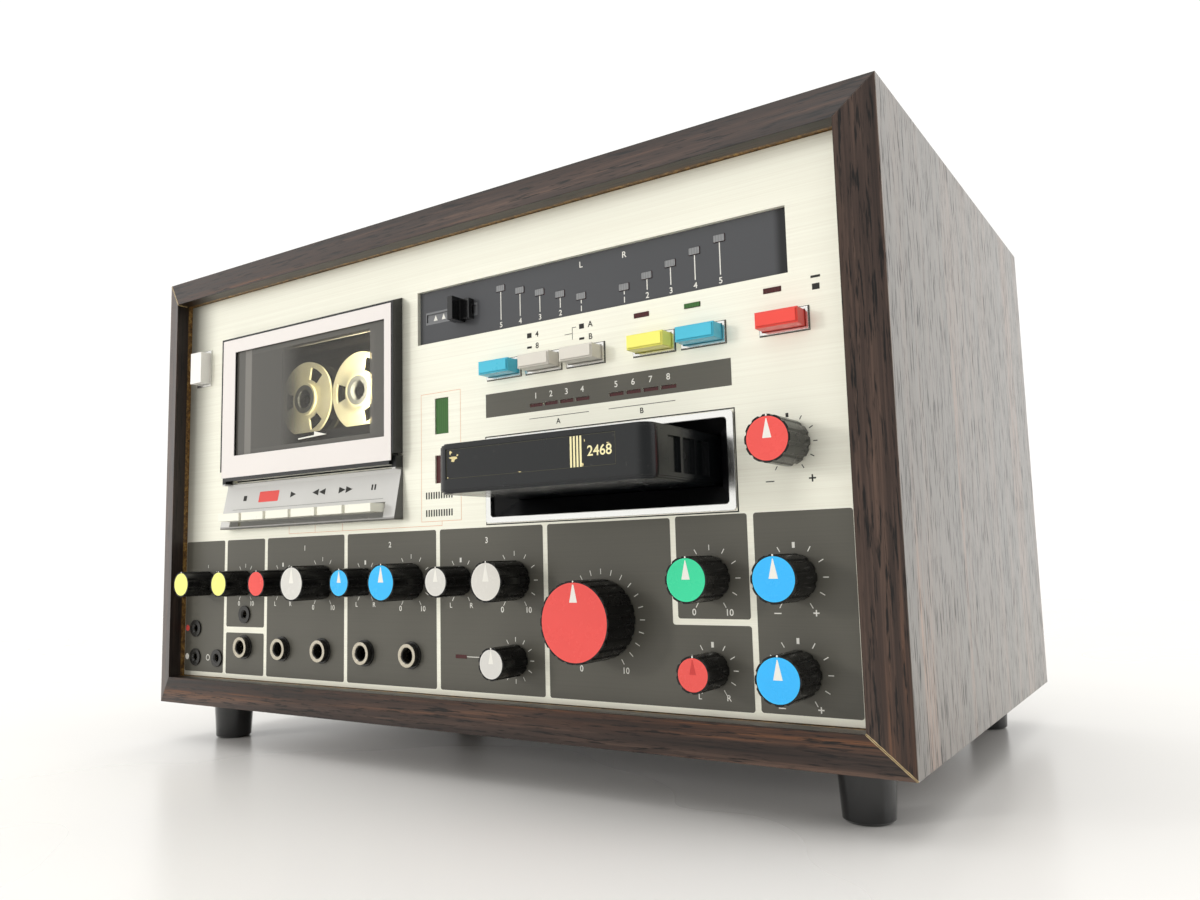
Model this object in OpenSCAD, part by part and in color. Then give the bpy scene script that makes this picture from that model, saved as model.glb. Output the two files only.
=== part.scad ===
// Table-top 8 track player with a cassette deck, echo and microphone mixer, in a mitred wooden cabinet.
// Millimetres. +Z is up, the front faces -Y, the origin is under the middle of the whole object.
// x places on the panel count from its middle, z places count from its lower edge.

/* [Cabinet] */
// Width of the cabinet
cabinet_w = 430; // [426:1:470]
// Height of the cabinet without its feet
cabinet_h = 246; // [244:1:290]
// Depth of the cabinet from its front corner to its back edge
cabinet_d = 266; // [250:1:340]
// Thickness of the cabinet boards
board_t = 15; // [12:0.5:16]
// How far the inner front edge of each board stands in front of the outer one
bevel_out = 5; // [2:0.5:8]
// Gap between the panels and the boards round them
panel_gap = 0.3; // [0.1:0.05:0.5]
// How far the back panel sits inside the cabinet
back_inset = 12; // [9:0.5:16]
// Thickness of the back panel
back_t = 3; // [2:0.5:5]

/* [Feet] */
// Height of the feet
foot_h = 22; // [12:0.5:30]
// Radius of a foot at the top
foot_top_r = 11; // [8:0.5:14]
// Radius of a foot at the floor
foot_r = 9.7; // [7:0.1:13]
// Distance from the side of the cabinet to the middle of a foot
foot_inset_x = 27; // [20:0.5:40]
// Distance from the front or back edge to the middle of a foot
foot_inset_y = 29.5; // [20:0.5:45]

/* [Front panel] */
// Thickness of the aluminium front panel
panel_t = 2; // [1.5:0.1:3]
// How far the panel sits behind the front corner of the cabinet
panel_recess = 4.5; // [2:0.5:10]

/* [Knobs] */
// Radius of the small knobs
small_r = 6.9; // [6.4:0.1:8]
// Radius of the middle-sized knobs
medium_r = 8.7; // [8:0.1:10]
// Radius of the master volume knob
master_r = 16.4; // [14:0.1:18]
// Length of the small knobs
small_len = 16.8; // [12:0.2:20]
// Length of the middle-sized knobs
medium_len = 19.6; // [14:0.2:24]
// Length of the master volume knob
master_len = 20.2; // [14:0.2:26]
// Width of the black rim round the coloured cap of a knob
knob_rim = 0.75; // [0.5:0.05:1]
// Thickness of the coloured cap
cap_t = 0.8; // [0.6:0.1:1.2]
// How deep the grip flutes are
flute_depth = 0.5; // [0.3:0.05:0.6]
// Gap between a knob and the panel
knob_gap = 0.5; // [0.3:0.1:1]
// Distance between neighbours in the row of knobs
knob_pitch = 31.4; // [28:0.1:34]
// Place of the first microphone knob, which starts the evenly spaced row
row_x = -113.2; // [-116:0.1:-110]
// Height of the upper row of knobs
upper_z = 52; // [48:0.5:56]
// Height of the lower row of knobs and of the large jacks
lower_z = 17.5; // [15:0.5:20]
// Place of the mode selector
selector_x = -178.8; // [-182:0.1:-176]
// Place of the earphone volume knob
earphone_x = -144.9; // [-148:0.1:-142]
// Place of the master volume knob
master_x = 89.2; // [86:0.1:92]
// Height of the master volume knob
master_z = 35.8; // [32:0.5:40]
// Place of the echo and balance knobs
echo_x = 139.4; // [136:0.1:142]
// Place of the two tone knobs and the speed knob
tone_x = 173.8; // [171:0.1:178]
// Height of the speed knob
speed_z = 101.2; // [98:0.2:106]
// Radius of the control shafts
shaft_r = 3; // [2.5:0.1:3]
// Radial clearance of a turning shaft in its bush
shaft_fit = 0.05; // [0.02:0.01:0.1]
// Radius of the body of a potentiometer
pot_r = 8; // [6:0.5:9]
// Depth of the body of a potentiometer
pot_t = 9; // [6:0.5:14]
// How far the terminals of a potentiometer reach below its body
pot_tab = 4; // [2:0.5:4]

/* [Jacks] */
// Radius of the hole in a large jack, for a 6.35 mm plug
large_bore_r = 3.25; // [3.2:0.01:3.3]
// Radius of the hole in a small jack, for a 3.5 mm plug
small_bore_r = 1.8; // [1.77:0.01:1.85]
// Depth of the hole in a large jack
large_bore_l = 30; // [26:0.5:34]
// Depth of the hole in a small jack
small_bore_l = 14; // [13:0.5:17]
// Outer radius of the ring of a large jack
large_ring_r = 5.5; // [5:0.1:6]
// Outer radius of the front of a small jack
small_ring_r = 4.7; // [4:0.1:5]
// Radius of the washer under a large jack
washer_r = 6.4; // [6:0.1:7]
// Height of the earphone jack
earphone_jack_z = 35; // [33:0.5:37]
// Place of the left column of small jacks
small_jack_x = -189; // [-190:0.2:-188]
// Distance from the left column of small jacks to the remote jack
small_jack_dx = 20; // [16:0.2:22]
// Height of the lower small jacks
small_jack_z = 10.7; // [9:0.2:12]
// Distance from the lower to the upper small jack
small_jack_dz = 16; // [14:0.2:18]

/* [Cartridge] */
// Width of an 8 track cartridge
cartridge_w = 101.6; // [101:0.1:102]
// Length of an 8 track cartridge
cartridge_l = 133.4; // [132:0.1:134]
// Thickness of an 8 track cartridge
cartridge_t = 20.3; // [19.5:0.1:22.5]
// How far the cartridge stands out of the front corner of the cabinet
cartridge_out = 41; // [35:0.5:55]
// Clearance round the cartridge in its guide
guide_fit = 0.4; // [0.2:0.05:1]
// Wall of the moulded cartridge guide
guide_wall = 2; // [1.5:0.1:3]
// Middle of the cartridge slot
slot_x = 90.4; // [88:0.1:92]
// Height of the middle of the cartridge
cartridge_z = 98.2; // [96:0.2:100]
// Width of the opening in the slot bezel
slot_w = 118; // [112:0.5:120]
// Height of the opening in the slot bezel
slot_h = 33.4; // [31:0.2:35]
// Height of the middle of the opening in the slot bezel
slot_z = 96.8; // [95:0.2:98]
// Width of the rim of the slot bezel
slot_rim = 2.8; // [2:0.1:4]
// How far the slot bezel stands in front of the panel
slot_proud = 0.9; // [0.5:0.1:2]
// Depth of the flared mouth behind the bezel
mouth_d = 8; // [6:0.5:14]

/* [Cassette deck] */
// Width of the cassette door and the key housing
door_w = 136; // [132:0.5:140]
// Middle of the door and the key housing
door_x = -92.3; // [-94:0.1:-90]
// Lower edge of the door
door_z = 108.1; // [107:0.1:110]
// Height of the front of the door
door_h = 80.7; // [78:0.1:82]
// Extra height of the door at its back edge
door_flare = 2.4; // [0:0.1:3]
// How far the front of the door stands in front of the panel
door_out = 6.5; // [5:0.1:9]
// Gap between the door and the panel
door_gap = 0.3; // [0.2:0.05:0.6]
// Width of the window in the door
window_w = 117.6; // [100:0.2:120]
// Height of the window in the door
window_h = 58.3; // [50:0.1:62]
// Middle of the window
window_x = -89; // [-92:0.1:-88]
// Lower edge of the window
window_z = 121.9; // [119:0.1:123]
// Thickness of the window pane
window_t = 1.5; // [1:0.1:2]
// Height of the door hinge above the lower edge of the door
hinge_dz = 2.4; // [2:0.1:3]
// Distance between the hubs of a cassette
hub_pitch = 42.5; // [42.3:0.1:42.7]
// Height of the hubs of the cassette
hub_z = 151.5; // [150:0.5:153]
// Width of a cassette
cassette_w = 100.4; // [100:0.1:101]
// Height of a cassette
cassette_h = 63.8; // [63:0.1:64]
// Thickness of a cassette
cassette_t = 9; // [8.5:0.1:9.5]
// Radius of the tape reels
reel_r = 20.8; // [18:0.1:21]
// Distance from the front of the panel to the front of the cassette
cassette_in = 8.5; // [7:0.5:12]
// Radius of a drive spindle
spindle_r = 2.3; // [1.8:0.1:2.5]

// Width of the opening in the mask behind the window
mask_w = 92; // [80:0.5:98]
// Height of the opening in the mask behind the window
mask_h = 52; // [40:0.5:56]

/* [Cassette keys] */
// Distance between the keys
key_pitch = 20.2; // [19.6:0.1:20.4]
// Width of a key
key_w = 18; // [16:0.1:18.6]
// Height of the front of a key
key_h = 4.2; // [3.6:0.1:4.8]
// Lower edge of the front of a key
key_z = 85.5; // [85:0.1:86]
// How far the keys stand in front of the panel
key_out = 13; // [11:0.2:15]
// Width of a key's lever behind the panel
lever_w = 5; // [4:0.2:8]
// Distance from the panel to the pivot of the keys
pivot_in = 30; // [24:0.5:36]
// Radius of the pivot shaft of the keys
pivot_r = 1.5; // [1.2:0.1:2]
// Lower edge of the key housing
housing_z = 81.6; // [80:0.1:83]
// Upper edge of the key housing
housing_top = 107; // [105:0.1:108]
// How far the lower edge of the key housing stands in front of the panel
housing_out = 5.7; // [4:0.1:8]

/* [Buttons and lamps] */
// Width of a push button
button_w = 16.8; // [14:0.2:18]
// Height of a push button
button_h = 6; // [5:0.1:6.5]
// How far a push button stands in front of the panel
button_out = 8.5; // [6:0.1:10]
// Travel of a push button
button_travel = 4; // [2:0.5:5]
// Width of the rim of a button frame
button_rim = 1; // [0.7:0.1:1.2]
// Clearance between a button and its frame
button_fit = 0.3; // [0.15:0.05:0.5]
// Height of the row of push buttons
button_z = 146.9; // [144:0.1:150]
// Middle of the first push button
button_x = 39.6; // [38:0.1:42]
// Distance between neighbouring push buttons
button_pitch = 22.4; // [21:0.1:23]
// Middle of the cue button
cue_x = 118.2; // [117:0.1:119]
// Middle of the power button
power_x = 174.5; // [173:0.1:177]
// Height of the small lamps above the buttons
lamp_z = 159.8; // [158:0.1:161]
// Width of the eject button
eject_w = 10; // [8:0.2:12]
// Height of the eject button
eject_h = 18; // [14:0.2:22]
// Middle of the eject button
eject_x = -186; // [-188:0.2:-184]
// Height of the middle of the eject button
eject_z = 176.5; // [174:0.5:180]

/* [Level display] */
// Width of the level window
level_w = 191; // [185:0.5:196]
// Height of the level window
level_h = 26.2; // [22:0.2:28]
// Middle of the level window
level_x = 81.4; // [80:0.1:83]
// Height of the middle of the level window
level_z = 178.5; // [177:0.1:180]
// Thickness of the level window
level_t = 2; // [1.5:0.1:3]
// Width of a level lamp
led_w = 4.9; // [4:0.1:5.5]
// Height of a level lamp
led_h = 2.9; // [2:0.1:3.2]
// Distance between neighbouring level lamps
led_pitch = 11.2; // [10:0.1:12]
// Rise from one level lamp to the next
led_rise = 2.9; // [2:0.1:3]
// Distance from the middle of the display to the first level lamps
led_start = 11; // [9:0.1:13]
// Middle of the two rows of level lamps
led_x = 92.4; // [91:0.1:94]
// Height of the lowest level lamps
led_z = 173.7; // [172:0.1:175]
// Travel of the level slider
slider_travel = 14; // [8:0.5:16]
// Left end of the slot of the level slider
slider_x = -10; // [-11:0.1:-9]
// Length of the slot of the level slider
slider_slot = 32; // [30:0.5:36]
// Distance between the program lamps
track_pitch = 8.3; // [7.5:0.1:8.4]
// Middle of the first program lamp
track_x = 57.3; // [56:0.1:59]
// Gap that parts the program lamps into two groups
track_split = 8.8; // [6:0.1:10]
// Height of the program lamps
track_z = 128.4; // [127:0.1:130]

/* [Back] */
// Radius of the hole in a phono socket
phono_bore_r = 1.65; // [1.6:0.01:1.7]
// Distance between the phono sockets
phono_pitch = 18; // [14:0.5:20]

/* [Inside] */
// Radius of the flywheel of the tape drive
flywheel_r = 35; // [30:1:40]
// Thickness of the flywheel
flywheel_t = 12; // [8:0.5:14]
// Radius of the motor pulley
pulley_r = 5; // [4:0.5:8]
// Radius of the tape drive motor
motor_r = 18; // [14:0.5:20]
// Height of the tape drive motor
motor_h = 34; // [26:0.5:40]
// Thickness of the chassis sheet
chassis_t = 1.6; // [1:0.1:2.5]
// Width of the mains transformer
transformer_w = 66; // [50:1:76]
// Distance from the middle of the cartridge to the capstan
capstan_dx = 28; // [24:0.5:32]
// Distance from the middle of the cartridge to the tape drive motor
motor_dx = 62; // [58:0.5:66]
// Distance from the capstan back to the motor
motor_dy = 34; // [28:0.5:40]
// Length of the tape deck behind the capstan
deck_tail = 62; // [58:0.5:80]
// Width of the tape deck beyond the flywheel
deck_margin = 12; // [8:0.5:16]
// Depth of the main circuit board
board_d = 120; // [90:1:130]
// Distance from the main circuit board to the chassis round it
board_edge = 14; // [6:0.5:20]

/* [Hidden] */
$fn = 48;

// The whole object reaches from the cartridge's front to the cabinet's back, and its middle is y = 0.
front_y = (cartridge_out - cabinet_d) / 2;
back_y = front_y + cabinet_d;
panel_y = front_y + panel_recess;
panel_back = panel_y + panel_t;
inner_w = cabinet_w - 2 * board_t;
inner_h = cabinet_h - 2 * board_t;
floor_z = foot_h + board_t;
back_panel_y = back_y - back_inset;
spread = inner_w / 400; // the places across the panel are given for 400 mm inside the boards
skin = 0.05;         // the least gap between pieces that stay separate
nip = 0.3;           // the gap at which a piece rests beside its seat
slot_play = 0.6;     // clearance round a lever in its slot

// Controls: x, z, body radius and length of each knob
control_small = [small_r, small_len];
control_medium = [medium_r, medium_len];
control_master = [master_r, master_len];
function column(i) = spread * (row_x + i * knob_pitch);
mode_spot = [spread * selector_x, upper_z, control_small];
earphone_spot = [spread * earphone_x, upper_z, control_small];
mic1_pan_spot = [column(0), upper_z, control_small];
mic1_volume_spot = [column(1), upper_z, control_medium];
mic2_pan_spot = [column(2), upper_z, control_small];
mic2_volume_spot = [column(3), upper_z, control_medium];
wireless_pan_spot = [column(4), upper_z, control_small];
wireless_volume_spot = [column(5), upper_z, control_medium];
tuning_spot = [column(5), lower_z, control_small];
master_spot = [spread * master_x, master_z, control_master];
echo_spot = [spread * echo_x, upper_z, control_medium];
balance_spot = [spread * echo_x, lower_z, control_small];
treble_spot = [spread * tone_x, upper_z, control_medium];
bass_spot = [spread * tone_x, lower_z, control_medium];
speed_spot = [spread * tone_x, speed_z, control_medium];
control_spots = [
    mode_spot, earphone_spot, mic1_pan_spot, mic1_volume_spot, mic2_pan_spot, mic2_volume_spot,
    wireless_pan_spot, wireless_volume_spot, tuning_spot, master_spot, echo_spot, balance_spot,
    treble_spot, bass_spot, speed_spot
];
large_jack_spots = [[earphone_spot[0], lower_z], for (i = [0:3]) [column(i), lower_z]];
small_jack_spots = [
    [spread * small_jack_x, small_jack_z], [spread * (small_jack_x + small_jack_dx), small_jack_z],
    [spread * small_jack_x, small_jack_z + small_jack_dz], [earphone_spot[0], earphone_jack_z]
];
button_spots = spread * [
    button_x, button_x + button_pitch, button_x + 2 * button_pitch, cue_x, cue_x + button_pitch, power_x
];
eject_mid = spread * eject_x;
bush_r = shaft_r + 1.2;
nut_r = shaft_r + 2.1;
nut_t = 1.6;
knob_floor = 3;      // material between the hollow of a knob and its cap
cap_well = cap_t + 0.2;
flute_r = 1.1;

frame_w = button_w + 2 * (button_fit + button_rim);
frame_h = button_h + 2 * (button_fit + button_rim);
frame_proud = 0.8;

// The cassette deck
door_mid = spread * door_x;
window_mid = door_mid + window_x - door_x;
door_back = panel_y - door_gap;
door_front = panel_y - door_out;
hinge_y = panel_y - 3;
hinge_z = door_z + hinge_dz;
hinge_r = 1;
hinge_ear = 2.6;
well_x0 = door_mid - door_w / 2 + 4;
well_x1 = door_mid + door_w / 2 - 4;
well_z0 = door_z - 0.4;
well_z1 = door_z + door_h - 1.8;
well_w = well_x1 - well_x0;
well_h = well_z1 - well_z0;
well_wall = 2;
cassette_y = panel_y + cassette_in;
well_back = cassette_y + cassette_t + 3;
hub_drop = 34.4;     // from the hubs to the open edge of a cassette
shell_z = hub_z - hub_drop;
reel_y = cassette_y + 3;
reel_t = 1.2;
hub_ring_r = 7;
hub_bore_r = 5.2;
spindle_in = 5.5;    // how far a spindle reaches into the cassette
hinge_back_r = panel_y - door_gap - hinge_y;
mask_t = 1.2;
mask_y = door_front + 3.7;
rail_t = 1.4;
rail_lip = 3.5;
key_x0 = door_mid - 2.5 * key_pitch;
pivot_y = panel_y + pivot_in;
pivot_z = key_z + key_h / 2 - 2;
cheek_t = 3;
key_slot_drop = 2.7;

// The cartridge and its guide
slot_mid = spread * slot_x;
cartridge_front = front_y - cartridge_out;
cartridge_back = cartridge_front + cartridge_l;
tunnel_w = cartridge_w + 2 * guide_fit;
tunnel_h = cartridge_t + 2 * guide_fit;
tunnel_front = panel_y + mouth_d;
tunnel_back = cartridge_back - 6;
guide_outer_w = slot_w + 2 * guide_wall;
guide_outer_h = slot_h + 2 * guide_wall;
tunnel_low = cartridge_z - tunnel_h / 2;
deck_top = tunnel_low - guide_wall;
deck_t = 2;
capstan_r = 2;
capstan_x = slot_mid + capstan_dx;
capstan_y = cartridge_back + capstan_r + nip;
deck_back = capstan_y + deck_tail;
deck_w = 2 * (capstan_dx + flywheel_r + deck_margin);
motor_x = slot_mid - motor_dx;
motor_y = capstan_y + motor_dy;
flywheel_z = deck_top - deck_t - 3 - flywheel_t;
belt_t = 1.4;
belt_h = 5;
belt_z = flywheel_z + (flywheel_t - belt_h) / 2;
deck_bracket_t = 3;

level_mid = spread * level_x;
level_span = spread * level_w;
slider_left = spread * slider_x;
lens_proud = 0.2;
lens_l = 3.4;
lens_fit = 0.1;

// ---------------------------------------------------------------- helpers

// Puts its children on the front of the panel, at x from the middle and z above the panel's lower edge
module on_panel(x, z) {
    translate([x, panel_y, floor_z + z]) children();
}

// Extrudes a flat shape by t out of the plane y = 0, towards the viewer
module outwards(t) {
    rotate([90, 0, 0]) linear_extrude(t) children();
}

// Extrudes a flat shape by t into the plane y = 0, away from the viewer
module inwards(t) {
    translate([0, t, 0]) outwards(t) children();
}

// A flat rectangle with round corners, about its middle
module round_rect(w, h, r) {
    square([w - 2 * r, h], center = true);
    square([w, h - 2 * r], center = true);
    for (sx = [-1, 1], sz = [-1, 1]) {
        translate([sx * (w / 2 - r), sz * (h / 2 - r)]) circle(r);
    }
}

// A box from y = 0 to y = d, centred in x and z
module slab(w, d, h) {
    translate([-w / 2, 0, -h / 2]) cube([w, d, h]);
}

// A cylinder along y, from y = 0 to y = l
module rod(r, l) {
    rotate([-90, 0, 0]) cylinder(r = r, h = l);
}

// ---------------------------------------------------------------- cabinet

// One board of the cabinet, seen along the grain: x runs through its thickness, y runs back
module board_profile() {
    polygon([[0, 0], [board_t, -bevel_out], [board_t, cabinet_d], [0, cabinet_d]]);
}

module cabinet_left() {
    color("saddlebrown")
        translate([-cabinet_w / 2, front_y, foot_h])
            upright_board();
}

module cabinet_right() {
    color("saddlebrown")
        mirror([1, 0, 0])
            translate([-cabinet_w / 2, front_y, foot_h])
                upright_board();
}

// A side board: the mitres leave its outer face full height
module upright_board() {
    difference() {
        linear_extrude(cabinet_h) board_profile();
        mitre_cut();
        translate([0, 0, cabinet_h]) mirror([0, 0, 1]) mitre_cut();
    }
}

// Takes away what lies under the 45 degree plane through the lower outer edge
module mitre_cut() {
    reach = 2 * board_t;
    translate([0, -bevel_out - 1, 0])
        rotate([-90, 0, 0])
            linear_extrude(cabinet_d + bevel_out + 2)
                polygon([[0, 0], [reach, -reach], [reach, reach], [-reach, reach], [-reach, 0]]);
}

// A top or bottom board, along x with its outer face down
module level_board() {
    translate([-cabinet_w / 2, 0, 0])
        difference() {
            rotate([90, 0, 90]) linear_extrude(cabinet_w) level_profile();
            end_cut();
            translate([cabinet_w, 0, 0]) mirror([1, 0, 0]) end_cut();
        }
}

// The profile of a level board: y runs back, z runs up from the outer face
module level_profile() {
    polygon([[0, 0], [cabinet_d, 0], [cabinet_d, board_t], [-bevel_out, board_t]]);
}

// Takes away what lies over the 45 degree plane through the outer edge at x = 0
module end_cut() {
    reach = 2 * board_t;
    translate([0, -bevel_out - 1, 0])
        rotate([-90, 0, 0])
            linear_extrude(cabinet_d + bevel_out + 2)
                polygon([[0, 0], [reach, -reach], [-reach, -reach], [-reach, reach], [0, reach]]);
}

module cabinet_bottom() {
    color("saddlebrown")
        translate([0, front_y, foot_h])
            level_board();
}

module cabinet_top() {
    color("saddlebrown")
        translate([0, front_y, foot_h + cabinet_h])
            mirror([0, 0, 1])
                level_board();
}

// A turned foot with a small round at the floor, under the bottom board
module foot() {
    edge = 1;
    rotate_extrude()
        polygon([[0, 0], [foot_r - edge, 0], [foot_r, edge], [foot_top_r, foot_h], [0, foot_h]]);
}

module feet() {
    color("black")
        for (sx = [-1, 1], y = [front_y + foot_inset_y, back_y - foot_inset_y]) {
            translate([sx * (cabinet_w / 2 - foot_inset_x), y, 0]) foot();
        }
}

// ---------------------------------------------------------------- back

vent_n = 12;
vent_w = 3.2;
vent_h = 34;
vent_pitch = 9;
vent_z = [150, 96];
vent_x = 60;
terminal_x = -110;
terminal_z = 60;
terminal_plate = [86, 40];
gland_x = 150;
gland_z = 34;
gland_r = 7;
fuse_x = 112;

module back_panel() {
    color("dimgray")
        translate([0, back_panel_y, 0])
            difference() {
                translate([0, 0, floor_z + inner_h / 2])
                    slab(inner_w - 2 * panel_gap, back_t, inner_h - 2 * panel_gap);
                for (z = vent_z, i = [0:vent_n - 1]) {
                    translate([vent_x + (i - (vent_n - 1) / 2) * vent_pitch, -1, floor_z + z])
                        inwards(back_t + 2)
                            round_rect(vent_w, vent_h, vent_w / 2 - 0.1);
                }
                translate([terminal_x, -1, floor_z + terminal_z])
                    slab(terminal_plate[0] - 8, back_t + 2, terminal_plate[1] - 8);
                translate([gland_x, -1, floor_z + gland_z]) rod(gland_r + skin, back_t + 2);
                translate([fuse_x, -1, floor_z + gland_z]) rod(gland_r + skin, back_t + 2);
                for (p = screw_spots()) {
                    translate([p[0], -1, p[1]]) rod(screw_r + skin, back_t + 2);
                }
            }
}

screw_r = 2;
screw_head_r = 4;
screw_l = 14;
screw_edge = 9;

function screw_spots() = [
    for (sx = [-1, 0, 1], sz = [0, 1])
        [sx * (inner_w / 2 - screw_edge), floor_z + (sz == 1 ? inner_h - screw_edge : screw_edge)]
];

// Six round-headed screws with a cross recess, into the corner battens
module back_screws() {
    color("silver")
        for (p = screw_spots()) {
            translate([p[0], back_panel_y + back_t + skin, p[1]])
                difference() {
                    union() {
                        rod(screw_head_r, 1.2);
                        translate([0, 1.2, 0]) rod(screw_head_r - 0.9, 0.8);
                        translate([0, -screw_l, 0]) rod(screw_r, screw_l);
                    }
                    translate([0, 1, 0]) slab(4, 2, 0.9);
                    translate([0, 1, 0]) slab(0.9, 2, 4);
                }
        }
}

// Phono sockets on a plate, spring terminals, the fuse cap and the gland of the mains lead
module rear_fittings() {
    plate_t = 2;
    color("black")
        translate([0, back_panel_y + back_t + skin, floor_z]) {
            translate([terminal_x, 0, terminal_z])
                difference() {
                    slab(terminal_plate[0], plate_t, terminal_plate[1]);
                    for (i = [0:3]) {
                        translate([(i - 1.5) * 10 - 16, plate_t - 1, 0]) slab(7, 2, 15);
                    }
                }
            for (i = [0, 1], j = [0, 1]) {
                translate([terminal_x + 18 + i * phono_pitch, plate_t + skin, terminal_z + (j - 0.5) * phono_pitch])
                    difference() {
                        union() {
                            rod(5, 1.4);
                            rod(4.1, 6);
                        }
                        translate([0, 1, 0]) rod(phono_bore_r, 8);
                    }
            }
            for (i = [0:3]) {
                translate([terminal_x + (i - 1.5) * 10 - 16, plate_t - 1 + skin, 0])
                    translate([0, 0, terminal_z - 2]) slab(6, 5, 9);
            }
            translate([gland_x, -back_t, gland_z])
                difference() {
                    union() {
                        rod(gland_r, back_t + skin);
                        translate([0, back_t + skin, 0]) rod(gland_r + 2, 2);
                        translate([0, back_t + 2, 0]) rod(gland_r - 1.5, 6);
                    }
                    translate([0, -1, 0]) rod(3.5, back_t + 12);
                }
            translate([fuse_x, -back_t, gland_z]) {
                rod(gland_r, back_t + skin);
                translate([0, back_t + skin, 0]) rod(gland_r + 2, 2);
                translate([0, back_t + 2, 0]) rod(gland_r - 1, 5);
            }
        }
}

// ---------------------------------------------------------------- inside

tray_gap = 0.4;
flange_h = 8;

// Folded sheet tray on the bottom board with two full-height sides and a low lip at the front
module chassis() {
    w = inner_w - 2 * tray_gap;
    y0 = panel_back + nip;
    d = back_panel_y - nip - y0;
    color("lightsteelblue")
        difference() {
            union() {
                translate([0, y0, floor_z + chassis_t / 2]) slab(w, d, chassis_t);
                translate([0, y0, floor_z + 3]) slab(w, chassis_t, 6);
                translate([0, y0 + d - chassis_t, floor_z + flange_h / 2]) slab(w, chassis_t, flange_h);
                for (sx = [-1, 1]) {
                    translate([sx * (w - chassis_t) / 2, y0, floor_z + (inner_h - tray_gap) / 2])
                        slab(chassis_t, d, inner_h - tray_gap);
                    translate([sx * (w / 2 - 6), y0 + d - chassis_t, floor_z + (inner_h - tray_gap) / 2])
                        slab(12, chassis_t, inner_h - tray_gap);
                    translate([sx * (w / 2 - 4), y0, floor_z + inner_h - 9])
                        slab(8, chassis_t, 16);
                }
            }
            for (sx = [-1, 1], z = [floor_z + 80, floor_z + 140]) {
                translate([sx * (w - chassis_t) / 2 - 5, y0 + d / 2, z])
                    rotate([0, 90, 0]) cylinder(r = 22, h = 10);
            }
            for (p = screw_spots()) {
                translate([p[0], y0 + d - chassis_t - 1, p[1]]) rod(screw_r + skin, chassis_t + 2);
            }
        }
}

transformer_y = 40;
transformer_h = 56;
core_t = 26;

// Laminated core with a coil former and two mounting feet
module transformer() {
    x0 = inner_w / 2 - transformer_w / 2 - 20;
    y0 = back_panel_y - transformer_y - core_t;
    base = floor_z + chassis_t + skin;
    color("dimgray")
        translate([x0, y0, base + transformer_h / 2]) {
            difference() {
                slab(transformer_w, core_t, transformer_h);
                for (sx = [-1, 1]) {
                    translate([sx * transformer_w / 4, -1, 0])
                        slab(transformer_w / 6, core_t + 2, transformer_h * 2 / 3);
                }
            }
            for (sx = [-1, 1]) {
                translate([sx * (transformer_w / 2 + 5), core_t / 2 - 8, 1.5 - transformer_h / 2])
                    slab(10, 16, 3);
            }
        }
    color("goldenrod")
        translate([x0, y0, base + transformer_h / 2])
            for (side = [0, 1]) {
                translate([0, side == 0 ? -10 - skin : core_t + skin, 0])
                    slab(transformer_w * 2 / 3, 10, transformer_h * 2 / 3 - 2);
            }
}

board_gap = 12.4;    // from the main board to the leg of the tape deck beside it
board_w = inner_w / 2 - board_edge + slot_mid - deck_w / 2 + 1 - board_gap;
board_back = 16;
spacer_in = 8;
circuit_t = 1.6;
fin_pitch = 9;
fins = floor((board_w - 118) / fin_pitch);
spacer_h = 6;
spacer_r = 3;

// Circuit board on four spacers, with its capacitors, heat sink and coils
module main_board() {
    x0 = -inner_w / 2 + board_w / 2 + board_edge;
    y0 = back_panel_y - board_d - board_back;
    base = floor_z + chassis_t + skin;
    top = base + spacer_h + circuit_t;
    color("darkgreen") {
        translate([x0, y0, base + spacer_h + circuit_t / 2]) slab(board_w, board_d, circuit_t);
        for (sx = [-1, 1], y = [spacer_in, board_d - spacer_in]) {
            translate([x0 + sx * (board_w / 2 - spacer_in), y0 + y, base]) cylinder(r = spacer_r, h = spacer_h);
        }
    }
    color("navy")
        for (i = [0:2]) {
            translate([x0 - board_w / 2 + 25 + i * 30, y0 + board_d - 26, top]) cylinder(r = 11, h = 36);
        }
    color("silver")
        translate([x0 + board_w / 2 - 9 - fins * fin_pitch / 2, y0 + board_d - 30, top])
            heat_sink();
    color("dimgray")
        for (i = [0:4], j = [0, 1]) {
            translate([x0 + (i - 2) * (board_w - 54) / 4 - 2, y0 + 22 + j * 30, top + 3]) slab(18, 7, 6);
        }
}

// A finned aluminium heat sink
module heat_sink() {
    translate([0, 0, 17]) slab(fins * fin_pitch, 3, 34);
    for (i = [0:fins - 1]) {
        translate([(i - (fins - 1) / 2) * fin_pitch, 2, 17]) slab(2, 16, 34);
    }
}

// ---------------------------------------------------------------- front panel

module lamp_spots_small() {
    for (x = [button_spots[3] - 5.6, button_spots[4] - 4.4, button_spots[5] - 4.2]) {
        on_panel(x, lamp_z) children();
    }
}

lamp_w = 7.1;
lamp_h = 1.9;
track_w = 7;
track_h = 1.4;
green_w = 8.4;
green_h = 17;
green_x = spread * 1.2;
green_z = 129.5;
red_z = 104.2;
red_h = 13;

module track_spots() {
    for (i = [0:7]) {
        on_panel(spread * (track_x + i * track_pitch + (i > 3 ? track_split : 0)), track_z) children();
    }
}

module level_spots() {
    for (side = [-1, 1], i = [0:4]) {
        on_panel(spread * (led_x + side * (led_start + i * led_pitch)), led_z + i * led_rise) children();
    }
}

// Takes a lamp's window, wider all round by lens_fit, out of a plate
module lamp_window(w, h) {
    translate([0, -1, 0]) slab(w + 2 * lens_fit, 8, h + 2 * lens_fit);
}

key_slot_h = key_h + key_slot_drop + slot_play;
key_slot_z = key_z - key_slot_drop;

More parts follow.
